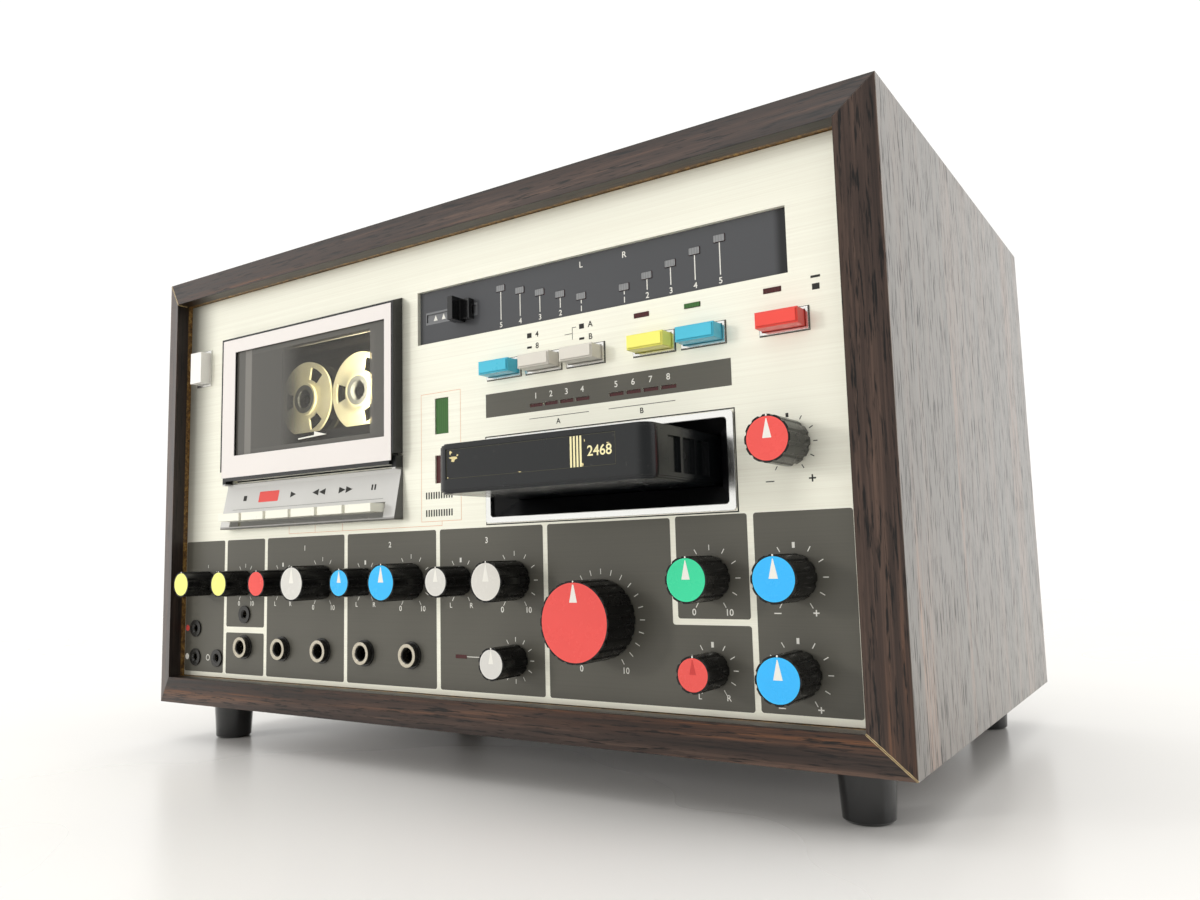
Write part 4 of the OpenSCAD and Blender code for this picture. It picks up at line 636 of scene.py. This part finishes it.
BUTTONS = {
    "program_button": "button_blue",
    "tape_button": "button_cream",
    "channel_button": "button_cream",
    "cue_button": "button_yellow",
    "start_button": "button_blue",
    "power_button": "button_red",
}
for n, m in {
    "cabinet_top": "wood_x", "cabinet_bottom": "wood_xb", "cabinet_left": "wood_l", "cabinet_right": "wood_r",
    "back_panel": "press", "back_screws": "nickel", "feet": "black_gloss", "front_panel": "panel",
    "chassis": "zinc", "transformer": "dark_steel", "main_board": "board", "level_window": "window_dark",
    "led_lenses": "red_lens", "level_slider": "black_gloss", "cartridge_bezel": "chrome",
    "cartridge_guide": "black_matte", "cartridge": "cartridge", "deck_motor": "motor", "motor_pulley": "brass",
    "drive_belt": "rubber", "capstan_flywheel": "flywheel", "jack_sockets": "jacks", "potentiometers": "pot",
    "rear_fittings": "rear", "button_bezels": "chrome", "key_housing": "housing",
    "cassette_well": "well", "cassette_shell": "black_gloss", "reel_left": "reel_l", "reel_right": "reel_r",
    "cassette_door": "door", "cassette_window": "smoke", "eject_button": "eject",
    **{"key_" + word: "key" for word in ("stop", "record", "play", "rewind", "forward", "pause")},
    **BUTTONS,
}.items():
    dress(n, m)

SMALL, BIG = (6.9, 16.8), (8.7, 19.6)  # radius and length of a knob
UPPER, LOWER = 67, 32.5  # height of the two rows of controls above the cabinet's lower face
# x, height, radius, length, colour of the cap, ink of the pointer
KNOBS = {
    "mode_selector": (-178.8, UPPER, *SMALL, "#f3f286", None),
    "earphone_volume_knob": (-144.9, UPPER, *SMALL, "#f3f286", None),
    "mic1_pan_knob": (-113.2, UPPER, *SMALL, "#ea554f", None),
    "mic1_volume_knob": (-81.8, UPPER, *BIG, "#d8d6d0", "white_ink"),
    "mic2_pan_knob": (-50.4, UPPER, *SMALL, "#3ebbfb", "white_ink"),
    "mic2_volume_knob": (-19.0, UPPER, *BIG, "#3abafc", "white_ink"),
    "wireless_pan_knob": (12.4, UPPER, *SMALL, "#d6d4ce", "white_ink"),
    "wireless_volume_knob": (43.8, UPPER, *BIG, "#d8d5ce", "white_ink"),
    "tuning_knob": (43.8, LOWER, *SMALL, "#d6d4cf", "white_ink"),
    "master_volume_knob": (89.2, 50.8, 16.4, 20.2, "#ea5550", "white_ink"),
    "echo_knob": (139.4, UPPER, *BIG, "#3bd69e", "white_ink"),
    "balance_knob": (139.4, LOWER, *SMALL, "#e55650", "red_pointer"),
    "treble_knob": (173.8, UPPER, *BIG, "#38b6fb", "white_ink"),
    "bass_knob": (173.8, LOWER, *BIG, "#38b6fb", "white_ink"),
    "speed_knob": (173.8, 116.2, *BIG, "#ea5650", "white_ink"),
}
CAP_STEP = 0.8  # a knob's cap is this much smaller in radius than its body
for k, (x, z, r, length, colour, _) in KNOBS.items():
    MAT[k] = knob_stuff("knob_" + k, x, z, length, r - CAP_STEP, colour)
    dress(k, k)


# -------------------- flat printed pieces


def piece_of(name, mesh, material, body):
    """A new piece from a mesh: its material and the body it rides on."""
    ob = bpy.data.objects.new(name, mesh)
    scene.collection.objects.link(ob)
    mesh.materials.clear()
    mesh.materials.append(MAT[material])
    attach(ob, body)


def on_front(mesh, d):
    """Stands a flat mesh up on the panel, d millimetres in front of it."""
    for v in mesh.vertices:
        x, y, z = v.co
        v.co = (x * MM, (PANEL - d - z) * MM, (y + RISE) * MM)


def curve_mesh(curve):
    """The mesh of a curve or of letters."""
    ob = bpy.data.objects.new("tmp", curve)
    scene.collection.objects.link(ob)
    bpy.context.view_layer.update()
    dg = bpy.context.evaluated_depsgraph_get()
    mesh = bpy.data.meshes.new_from_object(ob.evaluated_get(dg))
    bpy.data.objects.remove(ob)
    return mesh


def loops_mesh(name, loops, t):
    """A flat mesh, t thick, between closed outlines. An outline inside another one cuts a hole."""
    cu = bpy.data.curves.new(name, "CURVE")
    cu.dimensions = "2D"
    cu.fill_mode = "BOTH"
    cu.extrude = t / 2
    for loop in loops:
        sp = cu.splines.new("POLY")
        sp.points.add(len(loop) - 1)
        for p, q in zip(sp.points, loop):
            p.co = (q[0], q[1], 0, 1)
        sp.use_cyclic_u = True
    mesh = curve_mesh(cu)
    mesh.name = name
    return mesh


def letters_mesh(items, t):
    """Meshes of (text, x, z, size) joined, centred on their places."""
    bm = bmesh.new()
    for body, x, z, size in items:
        cu = bpy.data.curves.new("t", "FONT")
        cu.body = body
        cu.size = size
        cu.align_x = cu.align_y = "CENTER"
        cu.extrude = t / 2
        cu.offset = 0.012 * size
        mesh = curve_mesh(cu)
        mesh.transform(Matrix.Translation((x, z, 0)))
        bm.from_mesh(mesh)
        bpy.data.meshes.remove(mesh)
    out = bpy.data.meshes.new("letters")
    bm.to_mesh(out)
    bm.free()
    return out


def rect(x0, z0, x1, z1):
    """The corners of a rectangle, in mm."""
    return [(x0, z0), (x1, z0), (x1, z1), (x0, z1)]


def bar(x, z, w, h):
    """The corners of a rectangle w wide and h high, by its middle."""
    return rect(x - w / 2, z - h / 2, x + w / 2, z + h / 2)


def ring_loop(cx, cz, r, n=40):
    """The corners of a circle."""
    return [(cx + r * math.cos(2 * math.pi * i / n), cz + r * math.sin(2 * math.pi * i / n)) for i in range(n)]


def round_rect(x0, z0, x1, z1, r, n=5):
    """The corners of a rectangle with round corners."""
    out = []
    for cx, cz, a0 in ((x1 - r, z0 + r, -90), (x1 - r, z1 - r, 0), (x0 + r, z1 - r, 90), (x0 + r, z0 + r, 180)):
        for i in range(n + 1):
            a = math.radians(a0 + 90 * i / n)
            out.append((cx + r * math.cos(a), cz + r * math.sin(a)))
    return out


def print_on(name, loops, material, d=0.03, t=0.02, body="cabinet", slot="brushed_aluminium"):
    """Outlines printed d millimetres in front of the panel."""
    mesh = loops_mesh(name, loops, t)
    on_front(mesh, d)
    piece_of(name, mesh, material, body)


def write_on(name, items, material, d=0.06, body="cabinet"):
    """Letters and digits printed d millimetres in front of the panel."""
    mesh = letters_mesh(items, 0.02)
    on_front(mesh, d)
    piece_of(name, mesh, material, body)


def tick(cx, cz, angle, r0, r1, w):
    """A radial tick at an angle clockwise from the top."""
    a = math.radians(angle)
    s, c = math.sin(a), math.cos(a)
    return [
        (cx + r0 * s - w / 2 * c, cz + r0 * c + w / 2 * s),
        (cx + r0 * s + w / 2 * c, cz + r0 * c - w / 2 * s),
        (cx + r1 * s + w / 2 * c, cz + r1 * c - w / 2 * s),
        (cx + r1 * s - w / 2 * c, cz + r1 * c + w / 2 * s),
    ]


FRAME = 1.3  # a button's metal frame is this much larger than the button on each side
# the jacks' places, and every control's place with the radius of the clear ring round it
BIG_JACKS = [(x, LOWER) for x in (-144.9, -113.2, -81.8, -50.4, -19.0)]
SMALL_JACKS = [(-189.0, 25.7), (-169.0, 25.7), (-189.0, 41.7), (-144.9, 50.0)]
HOLES = [(x, z, 5.6) for (x, z, *_) in KNOBS.values()]
HOLES += [(x, z, 6.2) for x, z in BIG_JACKS] + [(x, z, 4.5) for x, z in SMALL_JACKS]
NOTCH = (122.6, 49.2)  # the inner corner of the field with six corners


def soften(outline, r=1.1, n=4):
    """Rounds each corner of an outline whose sides are level or upright."""
    out = []
    for i, p in enumerate(outline):
        p = Vector(p)
        back = (Vector(outline[i - 1]) - p).normalized()
        on = (Vector(outline[(i + 1) % len(outline)]) - p).normalized()
        for k in range(n + 1):
            a = math.radians(90 * k / n)
            out.append(tuple(p + r * (back + on) - r * (on * math.cos(a) + back * math.sin(a))))
    return out


def field(outline):
    """A printed field with a clear ring round each control in it."""
    xs = [p[0] for p in outline]
    zs = [p[1] for p in outline]
    loops = [soften(outline)]
    for x, z, r in HOLES:
        in_notch = len(outline) == 6 and x > NOTCH[0] and z > NOTCH[1]
        if min(xs) < x < max(xs) and min(zs) < z < max(zs) and not in_notch:
            loops.append(ring_loop(x, z, r))
    return loops


fields = [
    rect(-199.4, 17.7, -163.7, 90.8),
    rect(-161.3, 43.2, -128.5, 90.8),
    rect(-161.3, 17.7, -128.5, 40.0),
    rect(-126.1, 17.7, -65.6, 90.8),
    rect(-63.2, 17.7, -2.8, 90.8),
    rect(-0.4, 17.7, 59.7, 90.8),
    [(62.1, 17.7), (156.0, 17.7), (156.0, NOTCH[1]), NOTCH, (NOTCH[0], 90.8), (62.1, 90.8)],
    rect(125.0, 51.6, 155.8, 91.2),
    rect(158.4, 18.0, 196.7, 91.2),
]
for i, f in enumerate(fields):
    print_on("printed_field_%d" % (i + 1), field(f), "ink")

# the strip of the program lamps: their places, and an opening at each
LAMP_X = [57.3 + 8.3 * k + (8.8 if k > 3 else 0) for k in range(8)]
strip = [rect(28.6, 140.5, 152.0, 151.3)] + [bar(x, 143.4, 7.2, 1.6) for x in LAMP_X]
print_on("program_strip", strip, "ink")

# ticks round the knobs, with a thick one at the top of those that have a middle
white = []
black = []
for k, (x, z, r, *_) in KNOBS.items():
    thick = k.endswith("pan_knob") or k in ("balance_knob", "treble_knob", "bass_knob", "speed_knob")
    if k == "mode_selector":
        angles, r0, r1 = (-50, 0, 50), 8.6, 10.4
    elif k == "master_volume_knob":
        angles, r0, r1 = range(-150, 151, 15), 18.3, 20.6
    elif k == "speed_knob":
        angles, r0, r1 = range(-150, 151, 30), 9.6, 11.2
    elif r == BIG[0]:
        angles, r0, r1 = range(-150, 151, 30), 10.7, 12.8
    elif k == "tuning_knob":
        angles, r0, r1 = range(-180, 151, 30), 8.0, 10.0
    else:
        angles, r0, r1 = range(-150, 151, 30), 8.4, 10.5
    target = black if k == "speed_knob" else white
    for a in angles:
        target.append(tick(x, z, a, r0, r1, 1.1 if a == 0 and thick else 0.34))
print_on("white_ticks", white, "white_ink", d=0.06)

# marks at the ends of the scales
digits = []
for k, (dx, dz) in {
    "mic1_volume_knob": (7.1, 12.9), "mic2_volume_knob": (7.1, 12.9), "wireless_volume_knob": (7.1, 12.9),
    "echo_knob": (7.3, 13.0), "master_volume_knob": (10.6, 20.4), "earphone_volume_knob": (5.4, 11.2),
}.items():
    x, z = KNOBS[k][:2]
    digits += [("0", x - dx, z - dz, 3.5), ("10", x + dx + 0.4, z - dz, 3.5)]
for k, (dx, dz) in {
    "mic1_pan_knob": (6.2, 11.2), "mic2_pan_knob": (6.2, 11.2), "wireless_pan_knob": (6.2, 11.2),
    "balance_knob": (6.1, 10.2),
}.items():
    x, z = KNOBS[k][:2]
    digits += [("L", x - dx, z - dz, 3.2), ("R", x + dx, z - dz, 3.2)]
minus = []
for k in ("treble_knob", "bass_knob"):
    x, z = KNOBS[k][:2]
    z += 0.6 if k == "bass_knob" else 0.0
    digits.append(("+", x + 7.5, z - 13.0, 4.6))
    minus.append(rect(x - 8.6, z - 13.2, x - 5.8, z - 12.8))
digits += [("1", -95.8, 84.6, 3.8), ("2", -33.2, 84.6, 3.8), ("3", 28.0, 84.9, 3.8)]
digits += [(str(k + 1), x, 147.4, 3.7) for k, x in enumerate(LAMP_X)]
write_on("white_digits", digits, "white_ink")
print_on("white_minus_signs", minus, "white_ink", d=0.06)

# a dark line round the bezel: partly the gap round it, partly painted shadow
print_on("slot_gap_shadow_line", [rect(28.0, 91.7, 152.8, 131.9), rect(28.5, 92.2, 152.3, 131.4)], "black_ink", d=0.04)

# dark lines round the button frames: partly the gaps round them, partly painted shadow
outlines = []
for n in BUTTONS:
    lo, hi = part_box(n)
    x0, x1 = lo[0] / MM - FRAME, hi[0] / MM + FRAME
    z0, z1 = lo[2] / MM - RISE - FRAME, hi[2] / MM - RISE + FRAME
    outlines += [rect(x0 - 0.4, z0 - 0.4, x1 + 0.4, z1 + 0.4), rect(x0 - 0.05, z0 - 0.05, x1 + 0.05, z1 + 0.05)]
print_on("button_gap_shadow_lines", outlines, "black_ink", d=0.04)

# small signs on the bare metal: square and bar marks, scale ends, underlines
black += [bar(54.3, 175.0, 2.5, 2.2), bar(82.6, 174.8, 2.5, 2.2)]
black += [bar(54.3, 169.6, 2.6, 1.0), bar(82.6, 169.4, 2.6, 1.0)]
black += [rect(77.6, 169.6, 77.85, 175.0), rect(77.85, 174.75, 79.8, 175.0), rect(73.6, 172.2, 77.6, 172.45)]
black += [rect(185.6, 176.5, 189.3, 177.4), rect(186.0, 172.0, 188.9, 174.3)]
black += [rect(53.5, 137.35, 85.3, 137.6), rect(95.3, 137.35, 127.1, 137.6)]
black.append(rect(164.2, 102.2, 167.6, 102.6))
black += [bar(1.6 * i - 8.7, row, 0.84, 3.2) for row in (98.7, 107.0) for i in range(11)]
print_on("black_marks", black, "black_ink")
write_on(
    "black_digits",
    [("A", 69.3, 135.0, 3.2), ("B", 111.3, 135.0, 3.2), ("4", 58.6, 175.0, 3.6), ("8", 58.6, 169.8, 3.6),
     ("A", 87.1, 175.0, 3.6), ("B", 87.1, 169.6, 3.6), ("+", 182.4, 102.4, 5.4)],
    "black_ink",
)
w = 0.22  # width of the orange lines
frame_lines = [rect(-12.1, 94.7, 13.2, 155.9), rect(-12.1 + w, 94.7 + w, 13.2 - w, 155.9 - w)]
print_on("orange_lines", frame_lines, "orange_ink")
leads = [rect(-108.7, 92.6, 1.2, 92.6 + w), rect(1.2 - w, 92.6 + w, 1.2, 94.7)]
leads += [rect(x, 92.6 + w, x + w, 96.4) for x in (-108.7, -67.1, -88.0)]
print_on("orange_leads", leads, "orange_ink")

# coloured marks beside the small jacks and the tuning lamp
print_on("orange_dot", [ring_loop(-197.2, 41.7, 1.7)], "red_ink", d=0.06)
print_on("white_dot", [ring_loop(-197.2, 25.7, 1.7)], "white_ink", d=0.06)
print_on("white_ring", [ring_loop(-177.6, 25.7, 1.7), ring_loop(-177.6, 25.7, 1.3)], "white_ink", d=0.06)
print_on("tuning_lamp", [round_rect(8.9, 32.15, 15.6, 33.85, 0.3)], "red_lens", d=0.1, t=0.1, slot="red_lens")
print_on("tuning_line", [rect(15.7, 32.85, 33.6, 33.15)], "white_ink", d=0.06)

# -------------------- level display

LEVEL_FACE = -2.05  # the window's face lies this far behind the panel's front
LEVEL_SPOTS = [(92.4 + side * (11.0 + 11.2 * k), 188.7 + 2.9 * k) for side in (-1, 1) for k in range(5)]
led_lines = [rect(x - 0.22, 185.5, x + 0.22, z - 1.7) for x, z in LEVEL_SPOTS]
led_digits = [(str(i % 5 + 1), x, 183.1, 3.5) for i, (x, _) in enumerate(LEVEL_SPOTS)]
led_digits += [("L", 81.6, 202.6, 3.8), ("R", 103.8, 202.6, 3.8)]
print_on("level_lines", led_lines, "white_ink", d=LEVEL_FACE + 0.03, slot="grey_display")
write_on("level_digits", led_digits, "white_ink", d=LEVEL_FACE + 0.04)
SLOT = rect(-9.9, 191.35, 21.9, 195.25)  # the slider's slot in the window
rim = [rect(-10.4, 190.2, 22.4, 196.3), SLOT]
print_on("slider_rim", rim, "strip", d=LEVEL_FACE + 0.03, slot="grey_display")
print_on("slider_shutter", [SLOT], "strip", d=LEVEL_FACE - 0.6, t=0.1, slot="grey_display")
marks = [[(x - 1.3, 191.9), (x + 1.3, 191.9), (x, 194.7)] for x in (-4.6, 0.6)]
marks.append([(4.4, 192.2), (6.2, 192.2), (5.3, 194.2)])
print_on("slider_marks", marks, "white_ink", d=LEVEL_FACE - 0.53, slot="grey_display")


def lens_cover(name, spots, w, h, material, d):
    """Thin covers, w wide and h high, over the lamps at these spots."""
    loops = [round_rect(x - w / 2, z - h / 2, x + w / 2, z + h / 2, min(w, h) * 0.12, 3) for x, z in spots]
    print_on(name, loops, material, d=d, t=0.16, slot="red_lens")


lens_cover("level_lenses", LEVEL_SPOTS, 4.8, 2.8, "clear_lens", LEVEL_FACE + 0.3)
lens_cover("green_lamp", [(136.2, 174.8)], 7.0, 1.8, "green_lens", 0.3)
lens_cover("green_display", [(1.2, 144.5)], 8.3, 16.9, "green_lens", -0.7)

# -------------------- knob pointers

for k, (x, z, r, length, _, ink) in KNOBS.items():
    cap = r - CAP_STEP
    on_knob = {"body": k + "_body", "slot": "black_plastic"}
    if ink:
        shape = (0.12, 0.5, 0.95) if k == "master_volume_knob" else (0.22, 0.02, 0.90)
        wide, base, tip = (part * cap for part in shape)
        wedge = [(x - wide, z + base), (x + wide, z + base), (x + 0.02 * cap, z + tip), (x - 0.02 * cap, z + tip)]
        print_on(k + "_pointer", [wedge], ink, d=length + 0.015, **on_knob)
    dot = ring_loop(x, z + cap + 0.42, 0.36, 14)
    print_on(k + "_dot", [dot], "white_ink", d=length - 0.02, t=0.06, **on_knob)


# -------------------- cassette door and keys


def housing_y(z):
    """y in mm of the key housing's sloping front at a height above the cabinet's lower face."""
    z0, y0 = 98.0, -5.7
    z1, y1 = 119.5, -1.2
    f = (z - z0) / (z1 - z0)
    return PANEL + y0 + (y1 - y0) * f


def slope_print(name, loops, material):
    """Outlines printed on the key housing's slope."""
    lift = 0.04
    mesh = loops_mesh(name, loops, 0.02)
    for v in mesh.vertices:
        x, z, h = v.co
        v.co = (x * MM, (housing_y(z) - lift - h) * MM, (z + RISE) * MM)
    piece_of(name, mesh, material, "cabinet")


KEY_X = [-92.3 + 20.2 * (k - 2.5) for k in range(6)]
SIGN_Z = 113.2  # middle of the signs above the keys


def tri(x, z, w, h, way):
    """A triangle that points right (way 1) or left (way -1)."""
    return [(x - way * w / 2, z - h / 2), (x + way * w / 2, z), (x - way * w / 2, z + h / 2)]


signs = [tri(KEY_X[2], SIGN_Z, 4.4, 3.2, 1)]
signs += [tri(KEY_X[key] + dx, SIGN_Z, 4.8, 3.4, way) for key, way in ((3, -1), (4, 1)) for dx in (-2.6, 2.6)]
signs += [bar(KEY_X[5] + dx, SIGN_Z, 1.1, 2.8) for dx in (-1.05, 1.05)] + [bar(KEY_X[0], SIGN_Z, 2.8, 2.8)]
slope_print("key_signs", signs, "black_ink")
slope_print("record_sign", [round_rect(KEY_X[1] - 8.2, 110.4, KEY_X[1] + 8.2, 116.2, 0.5)], "red_ink")
slope_print("fold_line", [rect(-152.0, 107.0, -34.0, 107.25)], "grey_ink")

# the white face plate of the door, with the window's opening, on the dark frame
plate = [rect(-158.6, 125.0, -25.6, 202.6), rect(-147.8, 136.9, -30.2, 195.2)]
print_on("door_face_plate", plate, "white", d=6.66, t=0.3, body="door", slot="white_plastic")
arrow = [(-95.2, 141.3), (-73.2, 142.2), (-82.8, 144.6), (-82.8, 142.6), (-95.2, 142.0)]
print_on("window_arrow", [arrow], "white_ink", d=5.47, body="door", slot="smoked_window")

# -------------------- cartridge label (plain stripes and a number)

LABEL = 45.22  # the label lies this far in front of the panel
LX0, LX1, LZ0, LZ1 = 45.9, 126.9, 108.9, 120.7  # the label's sides, lower and upper edge


def on_label(name, loops, material, lift=0.0):
    """Outlines printed on the cartridge's label, lift millimetres in front of it."""
    print_on(name, loops, material, d=LABEL + lift, body="cartridge", slot="cartridge_shell")


stripes = [rect(107.0 + 1.45 * i, LZ0 + 0.15, 107.85 + 1.45 * i, LZ1 - 0.15) for i in range(4)]
on_label("label_stripes", stripes, "cream_ink")
on_label("label_edge", [rect(LX0, LZ0, LX1, LZ1), rect(LX0 + 0.16, LZ0 + 0.16, LX1 - 0.16, LZ1 - 0.16)], "label_edge")
worn = []
# middle, half width and height, corners and turn of each spot
for cx, cz, w, h, n, turn in (
    (49.6, 116.9, 2.6, 1.5, 9, 0.3),
    (48.1, 119.4, 0.9, 1.2, 7, 1.1),
    (51.8, 118.2, 0.8, 0.5, 7, 2.0),
    (83.4, 109.2, 0.8, 0.3, 7, 0.5),
    (112.6, 109.8, 0.5, 1.0, 7, 0.2),
    (123.7, 116.9, 0.9, 0.3, 7, 1.4),
    (46.5, 109.4, 0.5, 0.35, 6, 0.9),
    (113.6, 118.6, 0.3, 0.8, 6, 2.4),
):
    ring = []
    for i in range(n):
        a = 2 * math.pi * i / n
        k = 0.72 + 0.28 * math.sin(3 * a + turn) + 0.12 * math.sin(5 * a + 2 * turn)
        ring.append((cx + w * k * math.cos(a), min(LZ1 - 0.1, max(LZ0 + 0.1, cz + h * k * math.sin(a)))))
    worn.append(ring)
on_label("label_worn_spots", worn, "worn", 0.02)
write_on("label_digits", [("2468", 120.0, 114.4, 5.4)], "cream_ink", LABEL, "cartridge")

# -------------------- floor, light, camera

floor_mesh = bpy.data.meshes.new("floor")
bm = bmesh.new()
bmesh.ops.create_grid(bm, x_segments=1, y_segments=1, size=6.0)
bm.to_mesh(floor_mesh)
bm.free()
floor = bpy.data.objects.new("floor", floor_mesh)
scene.collection.objects.link(floor)
s = Stuff("pale_floor")
cloud = s.noise(scale=2.0, detail=3)
x, y, _ = s.xyz()[:3]
s.set(base=s.mix(cloud, "#f1efeb", "#f8f6f3"), rough=s.range(cloud, 0.3, 0.7, 0.22, 0.3), spec=0.35)
s.set(alpha=s.range(s.radius(x, y), 0.7, 2.2, 1.0, 0.0, smooth=True))  # fades into the backdrop
floor_mesh.materials.append(s.done(s.noise(scale=60, detail=3), 0.02, 0.0005))
floor.location = (0, 0, -0.0002)

# a pale backdrop that is darker towards the object's right front
world = bpy.data.worlds.new("studio")
scene.world = world
world.use_nodes = True
tree = world.node_tree
bg = tree.nodes["Background"]
coord = tree.nodes.new("ShaderNodeTexCoord")
toward = tree.nodes.new("ShaderNodeVectorMath")
toward.operation = "DOT_PRODUCT"
toward.inputs[1].default_value = (0.86, -0.5, -0.1)
tree.links.new(coord.outputs["Generated"], toward.inputs[0])
fall = tree.nodes.new("ShaderNodeMapRange")
fall.interpolation_type = "SMOOTHSTEP"
for key, value in {"From Min": 0.1, "From Max": 0.9, "To Min": 1.07, "To Max": 0.45}.items():
    fall.inputs[key].default_value = value
tree.links.new(toward.outputs["Value"], fall.inputs["Value"])
bg.inputs[0].default_value = (1.0, 0.995, 0.975, 1)
tree.links.new(fall.outputs[0], bg.inputs[1])


def area(name, at, to, size, power, colour=(1, 1, 1)):
    """An area light that stands at one point and faces another."""
    light = bpy.data.lights.new(name, "AREA")
    light.shape = "RECTANGLE"
    light.size, light.size_y = size
    light.energy = power
    light.color = colour
    ob = bpy.data.objects.new(name, light)
    scene.collection.objects.link(ob)
    ob.location = at
    ob.rotation_euler = (Vector(to) - Vector(at)).to_track_quat("-Z", "Y").to_euler()
    return ob


key = area("key_light", (-1.3, -1.75, 0.55), (0, -0.1, 0.13), (0.3, 0.3), 13.5, (1.0, 0.99, 0.97))
key.visible_glossy = False
lamp = area("deck_lamp", (-0.0415, -0.1046, 0.188), (-0.11, -0.1, 0.186), (0.004, 0.044), 0.125, (1.0, 0.9, 0.62))
lamp.visible_camera = False
lamp.visible_glossy = False
area("side_light", (2.2, 0.4, 1.2), (0.2, 0, 0.1), (1.6, 1.6), 10)
area("top_light", (0.2, -0.6, 2.3), (0, 0, 0), (2.0, 1.6), 10)

# the camera, as fitted to the photograph
FOCAL_PX, PHOTO_PX, SENSOR = 939.4, 1200, 36.0  # focal length and photo's width in pixels, sensor's width in mm
CAM_AT = (0.3055, -0.4338, 0.0983)
CAM_TURN = (33.4275, 6.4774, -1.4950)  # azimuth, elevation and roll in degrees
cam_data = bpy.data.cameras.new("camera")
cam_data.sensor_width = SENSOR
cam_data.lens = FOCAL_PX / PHOTO_PX * SENSOR
cam_data.clip_start = 0.01
cam = bpy.data.objects.new("camera", cam_data)
scene.collection.objects.link(cam)
az, el, roll = (math.radians(a) for a in CAM_TURN)
fwd = Vector((-math.sin(az) * math.cos(el), math.cos(az) * math.cos(el), math.sin(el)))
right = Vector((math.cos(az), math.sin(az), 0))
up = right.cross(fwd)
rolled_right = right * math.cos(roll) + up * math.sin(roll)
rolled_up = -right * math.sin(roll) + up * math.cos(roll)
stand = Matrix((rolled_right, rolled_up, -fwd)).transposed().to_4x4()
stand.translation = CAM_AT
cam.matrix_world = stand
scene.camera = cam

bpy.context.view_layer.update()
